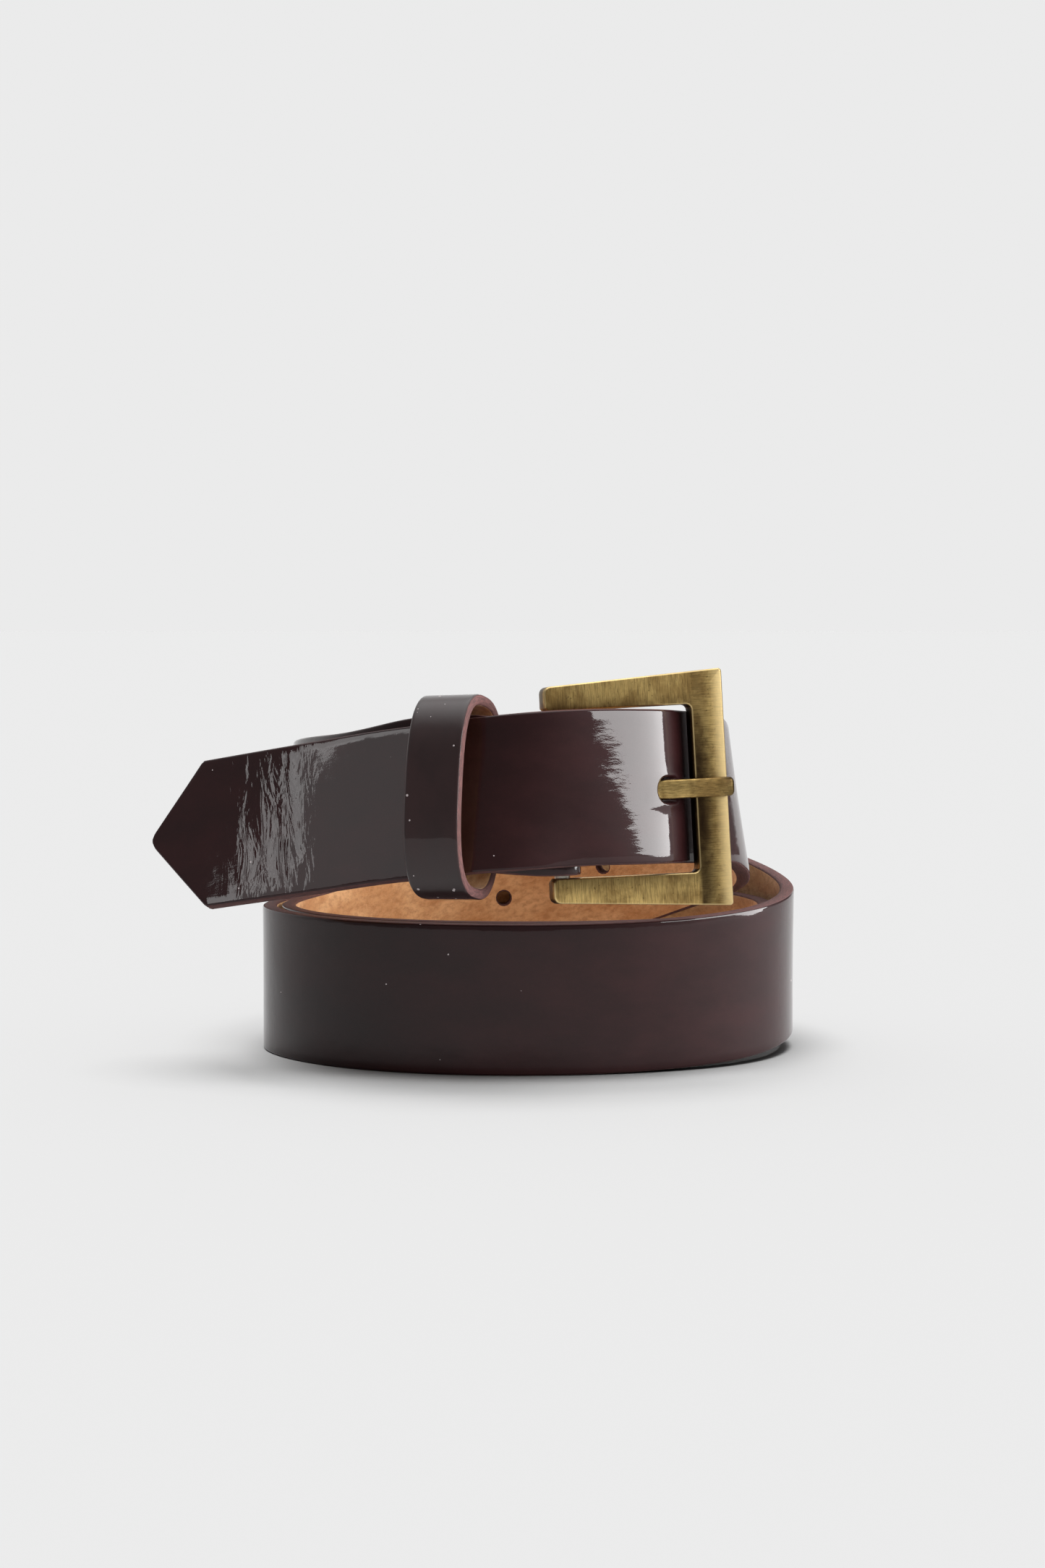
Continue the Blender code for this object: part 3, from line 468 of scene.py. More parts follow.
class Strip:
    """A flat strip of leather with holes, as points (along, across, through) and faces."""

    def __init__(self, stations, half_widths, thickness):
        self.stations = np.array(stations)
        self.thickness = thickness
        self.points = []
        self.faces = []
        self.finishes = []
        for along, half_width in zip(stations, half_widths):
            ring, self.ring_finishes = strip_section(half_width, thickness)
            self.points += [(along, across, through) for across, through in ring]
        self.count = len(ring)
        self.skipped = set()

    def point(self, ring, column):
        return ring * self.count + column % self.count

    def outer(self, ring, column):
        return self.point(ring, column)

    def inner(self, ring, column):
        """The point straight through the leather from outer(ring, column)."""
        return self.point(ring, self.first_inner + FACE_COLUMNS - column)

    @property
    def first_inner(self):
        return (self.count - 2 * (FACE_COLUMNS + 1)) // 2 + FACE_COLUMNS + 1

    def hole(self, middle, half_length, half_width, rims, wall=EDGE, aside=0, lag=0, longer=0):
        """Opens a round-ended hole; rims are (wider, lower) steps of its rim from the face to the wall.

        Its middle lies aside from the strip's. Its inner end lies lag rings nearer the strap's point,
        and is longer to each side.
        """
        reach = half_length + longer + HOLE_MARGIN
        first = int(np.searchsorted(self.stations, middle - reach)) - 1
        last = int(np.searchsorted(self.stations, middle + reach))
        across = [self.points[self.outer(first, j)][1] for j in range(FACE_COLUMNS + 1)]
        room = half_width + HOLE_MARGIN / 2
        left = max(j for j in range(FACE_COLUMNS + 1) if across[j] >= aside + room)
        right = min(j for j in range(FACE_COLUMNS + 1) if across[j] <= aside - room)
        border = [(first, j) for j in range(left, right)]
        border += [(i, right) for i in range(first, last)]
        border += [(last, j) for j in range(right, left, -1)]
        border += [(i, left) for i in range(last, first, -1)]
        for i in range(first, last):
            for j in range(left, right):
                self.skipped.add((i, j))
                self.skipped.add((i - lag, self.first_inner + FACE_COLUMNS - j - 1))
        half = self.thickness / 2
        loops = [[self.outer(*at) for at in border]]
        finishes = []
        steps = [(wider, half - lower, GRAIN) for wider, lower in rims]
        steps += [(wider, lower - half, EDGE) for wider, lower in reversed(rims)]
        straight = half_length - half_width
        shift = self.stations[first - lag] - self.stations[first]
        for wider, through, finish in steps:
            depth = (half - through) / self.thickness
            reach = straight + longer * depth
            loop = []
            for at in border:
                along, side, _ = self.points[self.outer(*at)]
                centre = min(max(along, middle - reach), middle + reach)
                way = Vector((along - centre, side - aside)).normalized() * (half_width + wider)
                loop.append(len(self.points))
                self.points.append((centre + way.x + shift * depth, aside + way.y, through))
            loops.append(loop)
            finishes.append(finish)
        loops.append([self.inner(i - lag, j) for i, j in border])
        finishes.append(FLESH)
        finishes[len(rims) - 1 : len(rims) + 1] = [wall, wall]
        for loop, following, finish in zip(loops, loops[1:], finishes):
            for k in range(len(border)):
                n = (k + 1) % len(border)
                self.faces.append((loop[k], loop[n], following[n], following[k]))
                self.finishes.append(finish)

    def close(self):
        """Adds the strip's own faces, but for those that its holes took away."""
        for i in range(len(self.stations) - 1):
            for k in range(self.count):
                if (i, k) in self.skipped:
                    continue
                ring = self.point(i, k), self.point(i, k + 1)
                following = self.point(i + 1, k + 1), self.point(i + 1, k)
                self.faces.append((*ring, *following))
                self.finishes.append(self.ring_finishes[k])
        last = len(self.stations) - 1
        self.faces.append(tuple(self.point(0, k) for k in range(self.count)))
        self.faces.append(tuple(self.point(last, k) for k in range(self.count)))
        self.finishes += [EDGE, EDGE]


def keep_lie(mesh, places):
    """Keeps each point's place on the flat leather, or in the buckle's own frame, in millimetres."""
    attribute = mesh.attributes.new("lie", "FLOAT_VECTOR", "POINT")
    attribute.data.foreach_set("vector", (np.array(places) / MM).astype(np.float32).ravel())


def link(name, mesh):
    mesh.shade_smooth()
    made = bpy.data.objects.new(name, mesh)
    bpy.context.scene.collection.objects.link(made)
    return made


def make_mesh(name, points, lie, faces, finishes, materials):
    """A leather object from points laid in space, with the places where they lie on the flat leather."""
    mesh = bpy.data.meshes.new(name)
    mesh.from_pydata([tuple(point) for point in points], [], faces)
    for material in materials:
        mesh.materials.append(material)
    mesh.polygons.foreach_set("material_index", finishes)
    keep_lie(mesh, lie)
    shape = bmesh.new()
    shape.from_mesh(mesh)
    bmesh.ops.recalc_face_normals(shape, faces=shape.faces)
    if shape.calc_volume(signed=True) < 0:
        bmesh.ops.reverse_faces(shape, faces=shape.faces)
    shape.to_mesh(mesh)
    shape.free()
    return link(name, mesh)


def strap_relief(hole_at, fold_at):
    """How far the leather stands out from its route: waves, and a pucker round the prong."""

    def relief(along, across):
        height, length, width = SLOW_WAVE
        waves = height * np.sin(along / length + 0.8) * np.cos(across / width + 0.4)
        height, length, width = QUICK_WAVE
        waves += height * np.sin(along / length + across / width)
        bent = np.exp(-(((along - BEND_PLACE) / BEND_SPREAD) ** 2))
        drift = 0.35 * np.sin(across / (4.6 * MM)) + across / (30 * MM)
        waves += bent * BEND_DEPTH * np.sin((along - BEND_PLACE) / BEND_WAVE + drift)
        under_bar = np.exp(-(((along - hole_at - UNDER_BAR_PLACE) / UNDER_BAR_SPREAD) ** 4))
        folded = eased((along - fold_at + CALM_BEFORE_FOLD) / CALM_LENGTH)
        waves *= (1 - under_bar) * (1 - folded)
        past = (along - hole_at - PRONG_HOLE_PAST) / PUCKER_STRETCH
        away = np.hypot(past, across - PRONG_HOLE_ASIDE)
        pucker = PUCKER_HEIGHT * np.exp(-(((away - PUCKER_RADIUS) / PUCKER_SPREAD) ** 2))
        return waves + pucker

    return relief


def no_relief(along, across):
    return 0 * along


def lay_strip(name, strip, path, relief, materials):
    flat = np.array(strip.points)
    points = path.place(flat, relief)
    return make_mesh(name, points, flat, strip.faces, strip.finishes, materials)


def make_strap(route, keeper_at, hinge_at, hole_at, materials):
    """The strap in two strips that meet unseen inside the keeper."""
    path = strap_path(route)
    relief = strap_relief(hole_at, route.length)
    nose = [distance * MM for distance in NOSE_STATIONS]
    meeting = keeper_at - SEAM_HALF_GAP
    rest = np.linspace(NOSE_END, meeting, round(meeting / FINE_SPACING))
    stations = [*nose, *rest]
    end = Strip(stations, [point_half_width(distance) for distance in stations], STRAP_THICKNESS)
    end.close()
    free = lay_strip("strap_free_end", end, path, relief, materials)
    bends = route.frame(hinge_at + BEND_LENGTH)[0], route.frame(hinge_at - BEND_LENGTH)[0]
    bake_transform(free)
    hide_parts("strap_tip")
    fine_end, fold_start = hole_at + FINE_PAST_HOLE, route.length - FINE_BEFORE_FOLD
    fine = np.arange(keeper_at + SEAM_HALF_GAP, fine_end, FINE_SPACING)
    coarse = np.arange(fine_end, fold_start, RING_SPACING)
    fold = np.arange(fold_start, path.at[-1], FINE_SPACING)
    stations = np.concatenate([fine, coarse, fold])
    coil = Strip(stations, [STRAP_WIDTH / 2] * len(stations), STRAP_THICKNESS)
    half_length, half_width = PRONG_HOLE_SIZE
    middle = hole_at + PRONG_HOLE_PAST
    slanted = {"aside": PRONG_HOLE_ASIDE, "lag": PRONG_HOLE_LAG, "longer": PRONG_HOLE_LONGER}
    coil.hole(middle, half_length, half_width, WORN_RIM, GRAIN, **slanted)
    for number in range(1, HOLE_COUNT):
        radius = HOLE_DIAMETER / 2
        coil.hole(hole_at + number * HOLE_SPACING, radius, radius, PUNCHED_RIM)
    around = math.pi * FOLD_RADIUS / 2
    coil.hole(route.length + around, around + PRONG_SLOT_LENGTH, PRONG_SLOT_WIDTH / 2, PUNCHED_RIM)
    coil.close()
    wound = lay_strip("strap_coil", coil, path, relief, materials)
    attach(wound, "belt")
    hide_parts("strap")
    return free, wound


def keeper_place(route, keeper_at):
    """The keeper's frame: columns outwards, upwards and along, and its middle."""
    middle, along, outwards, upwards = route.frame(keeper_at)
    inside = BUCKLE_SIDE_OFFSET + STRAP_THICKNESS / 2 + LAYER_GAP + SKIVED_THICKNESS
    layers_middle = middle + outwards * (STRAP_THICKNESS / 2 - inside) / 2
    place = Matrix((outwards, upwards, along)).transposed().to_4x4()
    slew = Matrix.Rotation(math.radians(KEEPER_SLEW), 4, "Y")
    tilt = Matrix.Rotation(math.radians(KEEPER_TILT), 4, "X")
    place = place @ tilt @ slew
    place.translation = layers_middle + outwards * KEEPER_OUT + upwards * KEEPER_RAISE
    return place


def make_keeper(place, materials):
    """The keeper: a narrow strip bent to an oval loop, its ends butted on the coil's side."""
    half_depth = (KEEPER_DEPTH - KEEPER_THICKNESS) / 2
    half_height = (KEEPER_HEIGHT - KEEPER_THICKNESS) / 2
    butt = math.degrees(KEEPER_BUTT_GAP / 2 / half_depth)
    power = 2 / KEEPER_SQUARENESS
    rows = []
    travelled = 0
    for turned in np.linspace(180 - butt, butt - 180, KEEPER_ROWS):
        angle = math.radians(turned)
        across, upright = math.cos(angle), math.sin(angle)
        out = math.copysign(abs(across) ** power, across)
        up = math.copysign(abs(upright) ** power, upright)
        steepness = KEEPER_SQUARENESS - 1
        slope = math.copysign(abs(out) ** steepness, out) / half_depth
        rise = math.copysign(abs(up) ** steepness, up) / half_height
        facing = Vector((slope, rise, 0))
        middle = place @ Vector((out * half_depth, up * half_height, 0))
        if rows:
            travelled += (middle - rows[-1][1]).length
        way = place.to_3x3() @ facing.normalized()
        rows.append((travelled, middle, way, place.to_3x3() @ Vector((0, 0, 1)), 1))
    path = Path(rows)
    stations = np.linspace(0, travelled, round(travelled / FINE_SPACING))
    strip = Strip(stations, [KEEPER_WIDTH / 2] * len(stations), KEEPER_THICKNESS)
    strip.close()
    keeper = lay_strip("keeper_band", strip, path, no_relief, materials)
    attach(keeper, "keeper")
    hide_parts("keeper_loop")
    return keeper


# ---------------------------------------------------------------- buckle


def plate_outline():
    """The buckle's outline from one heel round the front to the other: (u, v)."""
    outer_slope = (FRAME_FRONT_HEIGHT - FRAME_HEEL_HEIGHT) / 2 / (FRAME_REACH + FRAME_HEEL)
    inner_front = FRAME_REACH - FRONT_BAR_WIDTH
    inner_slope = (OPENING_FRONT_HEIGHT - OPENING_HEEL_HEIGHT) / 2 / (inner_front + FRAME_HEEL)
    upper = []
    for turned in (0, 15, 30, 45, 60, 75, 90):
        angle = math.radians(turned)
        u = FRAME_REACH - CORNER_RADIUS * (1 - math.cos(angle))
        upper.append((u, FRAME_FRONT_HEIGHT / 2 - CORNER_RADIUS * (1 - math.sin(angle))))
    arm_end = FRAME_HEEL_HEIGHT / 2 + outer_slope * ARM_END_AHEAD
    for turned in (0, 22.5, 45, 67.5, 90):
        angle = math.radians(turned)
        u = HEEL_CORNER_RADIUS * (1 - math.sin(angle)) - FRAME_HEEL
        upper.append((u, arm_end - HEEL_CORNER_RADIUS * (1 - math.cos(angle))))
    inner_end = OPENING_HEEL_HEIGHT / 2
    upper += [(-FRAME_HEEL, inner_end + ARM_END_CUT), (ARM_END_CUT - FRAME_HEEL, inner_end)]
    inner_corner = OPENING_FRONT_HEIGHT / 2
    bow = OPENING_CORNER_RADIUS
    for turned in (90, 60, 30, 0):
        angle = math.radians(turned)
        u = inner_front - bow * (1 - math.cos(angle))
        upper.append((u, inner_corner - inner_slope * bow - bow * (1 - math.sin(angle))))
    return upper + [(u, -v) for u, v in reversed(upper)]


def link_metal(name, shape, buckle, materials):
    """A metal object drawn in the buckle's own frame, put in its place."""
    bmesh.ops.recalc_face_normals(shape, faces=shape.faces)
    mesh = bpy.data.meshes.new(name)
    shape.to_mesh(mesh)
    shape.free()
    places = np.empty(len(mesh.vertices) * 3)
    mesh.vertices.foreach_get("co", places)
    keep_lie(mesh, places)
    mesh.transform(buckle)
    for material in materials:
        mesh.materials.append(material)
    return link(name, mesh)


def make_frame(buckle, brass):
    """The cast frame: a flat plate with a narrow worn chamfer in front and a wider one behind."""
    shape = bmesh.new()
    back = FRAME_RISE - FRAME_THICKNESS / 2 + FRAME_BACK_CHAMFER
    outline = [shape.verts.new((u, v, back)) for u, v in plate_outline()]
    plate = shape.faces.new(outline)
    grown = bmesh.ops.extrude_face_region(shape, geom=[plate])
    rise = Vector((0, 0, FRAME_THICKNESS - FRAME_CHAMFER - FRAME_BACK_CHAMFER))
    front_points = [part for part in grown["geom"] if isinstance(part, bmesh.types.BMVert)]
    bmesh.ops.translate(shape, verts=front_points, vec=rise)
    front = next(part for part in grown["geom"] if isinstance(part, bmesh.types.BMFace))
    bmesh.ops.recalc_face_normals(shape, faces=shape.faces)
    chamfers = ((front, FRAME_CHAMFER_INSET, FRAME_CHAMFER), (plate, FRAME_BACK_CHAMFER, FRAME_BACK_CHAMFER))
    for face, inset, depth in chamfers:
        bmesh.ops.inset_region(shape, faces=[face], thickness=inset, depth=depth)
    edges = [edge for edge in shape.edges if edge.calc_face_angle(0) > FRAME_BEVEL_FROM]
    bevel = {"offset": FRAME_BEVEL, "segments": 2, "profile": 0.5, "clamp_overlap": True}
    bmesh.ops.bevel(shape, geom=edges, affect="EDGES", **bevel)
    bmesh.ops.triangulate(shape, faces=[face for face in shape.faces if len(face.verts) > 4])
    made = link_metal("buckle_plate", shape, buckle, [brass])
    made.data.set_sharp_from_angle(angle=FRAME_SHARP_FROM)
    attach(made, "buckle")
    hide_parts("buckle_frame")
    return made


def prong_line():
    """The prong's side view: (u, w, thickness) along its middle, from inside its loop to its end."""
    radius = BAR_RADIUS + GAP + PRONG_WRAP_THICKNESS / 2
    line = []
    for turned in range(int(PRONG_WRAP_START), -265, -12):
        angle = math.radians(turned)
        line.append((radius * math.cos(angle), radius * math.sin(angle), PRONG_WRAP_THICKNESS))
    top = FRAME_RISE + FRAME_THICKNESS / 2 + GAP
    line.append((0, radius, PRONG_WRAP_THICKNESS))
    line.append((5 * MM, radius + 0.1 * MM, 1.8 * MM))
    line.append((14 * MM, radius + 0.3 * MM, PRONG_THICKNESS))
    line.append((FRAME_REACH - FRONT_BAR_WIDTH - 1 * MM, top + PRONG_THICKNESS / 2, PRONG_THICKNESS))
    line.append((FRAME_REACH - 2 * MM, top + PRONG_THICKNESS / 2, PRONG_THICKNESS))
    line.append((FRAME_REACH + 0.8 * MM, top + 0.9 * MM, 1.9 * MM))
    return line


def make_prong(buckle, brass):
    """The prong: bent round the heel bar, flat on top with round shoulders, and a blunt end."""
    line = np.array(prong_line())
    lengths = np.concatenate([[0], np.cumsum(np.linalg.norm(np.diff(line[:, :2], axis=0), axis=1))])
    total = lengths[-1]
    end = total - np.array([PRONG_END_LENGTH / MM, 0.5, 0.2, 0.05]) * MM
    stations = np.concatenate([np.arange(0, total - 1 * MM, PRONG_RING_SPACING), end])
    shape = bmesh.new()
    rows = []
    for station in stations:
        places = station, min(station + PRONG_STEP, total), max(station - PRONG_STEP, 0)
        here, ahead, behind = ([np.interp(at, lengths, column) for column in line.T] for at in places)
        along = Vector((ahead[0] - behind[0], 0, ahead[1] - behind[1])).normalized()
        out = Vector((-along.z, 0, along.x))
        into_end = max(0, 1 - (total - station) / PRONG_END_LENGTH)
        shrink = math.sqrt(1 - into_end**2 * PRONG_END_NARROWING)
        row = []
        for k in range(PRONG_SIDES):
            angle = 2 * math.pi * k / PRONG_SIDES
            ways = math.cos(angle), math.sin(angle)
            side, top = (math.copysign(abs(way) ** PRONG_SQUARENESS, way) for way in ways)
            across, high = side * PRONG_WIDTH / 2, top * here[2] / 2
            point = Vector((here[0], 0, here[1])) + Vector((0, across * shrink, 0)) + out * high * shrink
            row.append(shape.verts.new(point))
        rows.append(row)
    for row, following in zip(rows, rows[1:]):
        for k in range(PRONG_SIDES):
            n = (k + 1) % PRONG_SIDES
            shape.faces.new((row[k], row[n], following[n], following[k]))
    shape.faces.new(rows[0])
    shape.faces.new(rows[-1])
    made = link_metal("prong_bar", shape, buckle, [brass])
    made.data.set_sharp_from_angle(angle=PRONG_SHARP_FROM)
    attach(made, "prong")
    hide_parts("prong")
    return made


# ---------------------------------------------------------------- materials


class Nodes:
    """Short calls for building a material's nodes."""

    def __init__(self, name):
        self.material = bpy.data.materials.new(name)
        self.material.use_nodes = True
        self.tree = self.material.node_tree
        self.shader = self.tree.nodes["Principled BSDF"]

    def add(self, kind, inputs=(), **settings):
        node = self.tree.nodes.new(kind)
        for name, value in settings.items():
            setattr(node, name, value)
        for socket, value in dict(inputs).items():
            self.put(node.inputs[socket], value)
        return node

    def put(self, socket, value):
        if isinstance(value, bpy.types.NodeSocket):
            self.tree.links.new(value, socket)
        else:
            socket.default_value = value

    def set(self, **values):
        for name, value in values.items():
            self.put(self.shader.inputs[name.replace("_", " ")], value)

    def lie(self, scale=(1, 1, 1)):
        """The place on the flat leather or metal in millimetres, stretched."""
        source = self.add("ShaderNodeAttribute", attribute_name="lie")
        factors = {0: source.outputs["Vector"], 1: scale}
        return self.add("ShaderNodeVectorMath", factors, operation="MULTIPLY").outputs["Vector"]

    def objects(self, scale):
        """The place in the object's own frame in millimetres, stretched."""
        source = self.add("ShaderNodeTexCoord")
        stretch = [value / MM for value in scale]
        factors = {0: source.outputs["Object"], 1: stretch}
        return self.add("ShaderNodeVectorMath", factors, operation="MULTIPLY").outputs["Vector"]

    def noise(self, vector, scale, detail=3.0, roughness=0.5, distortion=0.0):
        inputs = {"Vector": vector, "Scale": scale, "Detail": detail, "Roughness": roughness}
        inputs["Distortion"] = distortion
        return self.add("ShaderNodeTexNoise", inputs).outputs["Fac"]

    def speckle(self, vector, scale):
        inputs = {"Vector": vector, "Scale": scale}
        return self.add("ShaderNodeTexVoronoi", inputs).outputs["Distance"]

    def span(self, value, start, finish, low=0.0, high=1.0):
        """value mapped smoothly from start..finish to low..high."""
        inputs = {"Value": value, "From Min": start, "From Max": finish, "To Min": low, "To Max": high}
        return self.add("ShaderNodeMapRange", inputs, interpolation_type="SMOOTHSTEP").outputs["Result"]

    def maths(self, operation, first, second=0.0):
        return self.add("ShaderNodeMath", {0: first, 1: second}, operation=operation).outputs["Value"]

    def part(self, vector, axis):
        return self.add("ShaderNodeSeparateXYZ", {"Vector": vector}).outputs[axis]

    def mix(self, factor, first, second):
        node = self.add("ShaderNodeMix", data_type="RGBA")
        self.put(node.inputs["Factor"], factor)
        self.put(node.inputs[6], first)
        self.put(node.inputs[7], second)
        return node.outputs[2]

    def bump(self, height, distance, strength=1.0, before=None):
        inputs = {"Height": height, "Distance": distance * MM, "Strength": strength}
        if before:
            inputs["Normal"] = before
        return self.add("ShaderNodeBump", inputs).outputs["Normal"]


def colour(red, green, blue):
    """A display colour as the shader's linear one."""
    return (*[((value / 255 + 0.055) / 1.055) ** 2.4 for value in (red, green, blue)], 1)


def band(n, value, start, rise, fall, end):
    """1 between rise and fall, and 0 outside start and end."""
    return n.maths("MULTIPLY", n.span(value, start, rise), n.span(value, fall, end, 1, 0))


def patent_leather(name, keeper=False):
    """Dark oxblood leather under a clear glossy coat, rippled, creased near the point and a little dusty."""
    n = Nodes(name)
    cloud = n.noise(n.lie((0.05, 0.09, 0.05)), 1.0, 4.0, 0.6)
    shade = n.mix(n.span(cloud, 0.3, 0.75), colour(29, 10, 11), colour(38, 15, 16))
    grain = n.noise(n.lie(), 5.5, 2.0)
    shade = n.mix(n.span(grain, 0.55, 0.75, 0, 0.25), shade, colour(52, 30, 26))
    dust_cells = n.speckle(n.lie(), 0.42 if keeper else 0.16)
    where = n.noise(n.lie((0.11, 0.11, 0.11)), 1.0, 1.0)
    most = n.span(where, 0.4, 0.62, 0.0, 0.13 if keeper else 0.04)
    dust = n.maths("LESS_THAN", dust_cells, most)
    shade = n.mix(n.maths("MULTIPLY", dust, 0.75), shade, colour(200, 190, 190))
    ripple = n.noise(n.lie((0.12, 0.14, 0.2)), 1.0, 2.0, 0.45)
    normal = n.bump(ripple, 0.16, 0.5)
    comb = n.noise(n.lie((0.3, 0.8, 0.6)), 1.0, 3.0, 0.6)
    normal = n.bump(comb, 0.02, 0.5, normal)
    if not keeper:
        along = n.part(n.lie(), "X")
        crumple = band(n, along, 16, 25, 34, 46)
        creases = n.noise(n.lie((0.3, 0.08, 0.3)), 1.0, 3.0, 0.5, 0.6)
        fine_creases = n.noise(n.lie((1.2, 0.4, 0.6)), 1.0, 2.0, 0.5, 0.4)
        height = n.maths("ADD", creases, n.maths("MULTIPLY", fine_creases, 0.06))
        normal = n.bump(n.maths("MULTIPLY", height, crumple), 0.2, 0.9, normal)
    pores = n.noise(n.lie(), 3.4, 2.0)
    fine = n.bump(pores, 0.005, 0.5, normal)
    n.set(Base_Color=shade, Roughness=n.span(cloud, 0.2, 0.8, 0.42, 0.52), Normal=fine)
    n.set(Coat_Weight=n.maths("SUBTRACT", 1.0, dust), Coat_Roughness=0.035, Coat_IOR=COAT_IOR)
    n.set(Specular_IOR_Level=0.3 if keeper else 0.06, Coat_Normal=fine)
    return n.material


def cut_edge(name):
    """The leather's cut edge: mauve-brown, matt and fibrous."""
    n = Nodes(name)
    fibre = n.noise(n.lie((0.7, 2.6, 3.4)), 1.0, 5.0, 0.65)
    cloud = n.noise(n.lie((0.09, 0.3, 0.3)), 1.0, 2.0)
    shade = n.mix(n.span(fibre, 0.3, 0.72), colour(56, 33, 32), colour(104, 68, 66))
    shade = n.mix(n.span(cloud, 0.35, 0.75, 0, 0.55), shade, colour(76, 46, 42))
    through = n.part(n.lie(), "Z")
    shade = n.mix(n.span(through, 0.9, 1.6, 0, 0.45), shade, colour(58, 34, 34))
    normal = n.bump(fibre, 0.22, 0.7)
    n.set(Base_Color=shade, Roughness=n.span(fibre, 0.2, 0.8, 0.68, 0.9), Normal=normal)
    n.set(Specular_IOR_Level=0.35)
    return n.material


def flesh_side(name):
    """The raw inside of the leather: tan, mottled and napped."""
    n = Nodes(name)
    cloud = n.noise(n.lie((0.06, 0.12, 0.1)), 1.0, 4.0, 0.6)
    mottle = n.noise(n.lie((0.5, 0.8, 0.6)), 1.0, 5.0, 0.7)
    nap = n.noise(n.lie((1.6, 4.5, 2.0)), 1.0, 3.0, 0.7)
    shade = n.mix(n.span(cloud, 0.3, 0.7), colour(196, 140, 90), colour(230, 182, 132))
    shade = n.mix(n.span(mottle, 0.38, 0.7, 0, 0.55), shade, colour(160, 106, 62))
    shade = n.mix(n.span(nap, 0.5, 0.8, 0, 0.35), shade, colour(232, 192, 148))
    normal = n.bump(nap, 0.16, 0.7, n.bump(mottle, 0.2, 0.5))
    n.set(Base_Color=shade, Roughness=n.span(nap, 0.2, 0.8, 0.84, 0.97), Normal=normal)
    n.set(Specular_IOR_Level=0.25, Sheen_Weight=0.15, Sheen_Roughness=0.5)
    return n.material


def antique_brass(name, prong=False):
    """Brass brushed across each bar, aged in patches, with painted shade towards the opening and on the
    walls, and wear plus a painted highlight on the front bar's outer edge and chamfer.
    """
    n = Nodes(name)
    lie = n.lie()
    u, v, w = (n.part(lie, axis) for axis in "XYZ")
    across_arm = n.noise(n.lie((5.5, 0.3, 0.6)), 1.0, 3.0, 0.62)
    across_bar = n.noise(n.lie((0.3, 5.5, 0.6)), 1.0, 3.0, 0.62)
    inner_front = (FRAME_REACH - FRONT_BAR_WIDTH) / MM
    on_bar = n.span(u, inner_front - 0.6, inner_front + 0.6)
    brushed = n.mix(on_bar, across_arm, across_bar)
    # Painted shade: the front bar darker towards the opening and low down, and the arms darker along the
    # opening
    from_inside = n.span(u, inner_front + 1.0, FRAME_REACH / MM - 1.2, 1, 0)
    low_on_bar = n.span(v, 4.0, 22.0, 1, 0.3)
    arm_inside = n.span(n.maths("ABSOLUTE", v), OPENING_HEEL_HEIGHT / 2 / MM, 23.0, 0.5, 0)
    painted_shade = n.mix(on_bar, arm_inside, n.maths("MULTIPLY", from_inside, low_on_bar))
    if prong:
        brushed = n.noise(n.lie((0.5, 5.0, 2.0)), 1.0, 3.0, 0.6)
        # Painted shade on the prong, darker towards its end
        painted_shade = n.span(u, 36.0, 41.0, 0.1, 0.9)
    age = n.noise(n.lie((0.16, 0.13, 0.2)), 1.0, 4.0, 0.6, 0.4)
    spots = n.noise(n.lie((1.4, 1.4, 1.4)), 1.0, 4.0, 0.65)
    gold, olive, dark = colour(220, 188, 120), colour(158, 129, 78), colour(46, 33, 22)
    shade = n.mix(n.span(age, 0.35, 0.65), olive, gold)
    shade = n.mix(n.maths("MULTIPLY", painted_shade, n.span(age, 0.3, 0.6, 1.0, 0.82)), shade, dark)
    shade = n.mix(n.span(brushed, 0.35, 0.7, 0.0, 0.5), shade, dark)
    shade = n.mix(n.span(spots, 0.6, 0.72, 0.0, 0.6), shade, dark)
    # Painted shade: the plate's side walls darker towards its back, and the prong's blunt end face darker
    if prong:
        side = n.span(u, 40.7, 41.3, 0.0, 0.8)
    else:
        side = n.span(w, 0.6, 2.1, 0.85, 0.0)
        # Wear and painted highlight: lighter gold on the front chamfer's rim and along the front bar's outer
        # edge
        rim = n.maths("MULTIPLY", n.span(w, 2.2, 2.36), n.span(w, 2.52, 2.6, 1, 0))
        wear_and_painted_highlight = n.maths("MULTIPLY", on_bar, n.span(u, 36.8, 40.2, 0, 0.8))
        wear_and_painted_highlight = n.maths("MAXIMUM", wear_and_painted_highlight, n.maths("MULTIPLY", rim, 0.6))
        shade = n.mix(wear_and_painted_highlight, shade, colour(232, 206, 150))
    shade = n.mix(side, shade, dark)
    normal = n.bump(brushed, 0.03, 0.5, n.bump(spots, 0.04, 0.35))
    n.set(Base_Color=shade, Metallic=1.0, Roughness=n.span(age, 0.3, 0.7, 0.42, 0.32), Normal=normal)
    return n.material


def plain_steel(name):
    """Nickel-plated steel with fine scratches and a few dull spots."""
    n = Nodes(name)
    scratches = n.noise(n.objects((0.6, 0.6, 7.0)), 1.0, 3.0, 0.6)
    dull = n.noise(n.objects((0.5, 0.5, 0.5)), 1.0, 4.0, 0.6)
    shade = n.mix(n.span(dull, 0.4, 0.7, 0, 0.7), colour(190, 184, 172), colour(128, 118, 104))
    normal = n.bump(scratches, 0.02, 0.5)
    n.set(Base_Color=shade, Metallic=1.0, Roughness=n.span(dull, 0.3, 0.7, 0.28, 0.5), Normal=normal)
    return n.material


def finish_cad_nodes(steel):
    """A procedural finish for the small metal pieces that keep their CAD shape."""
    kept = ["heel_bar", "keeper_staple"]
    kept += [f"rivet_{piece}_{side}_side" for piece in ("cap", "post") for side in ("buckle", "keeper")]
    for name in kept:
        mesh = frame["nodes"][name].data
        mesh.materials.clear()
        mesh.materials.append(steel)


# ---------------------------------------------------------------- studio


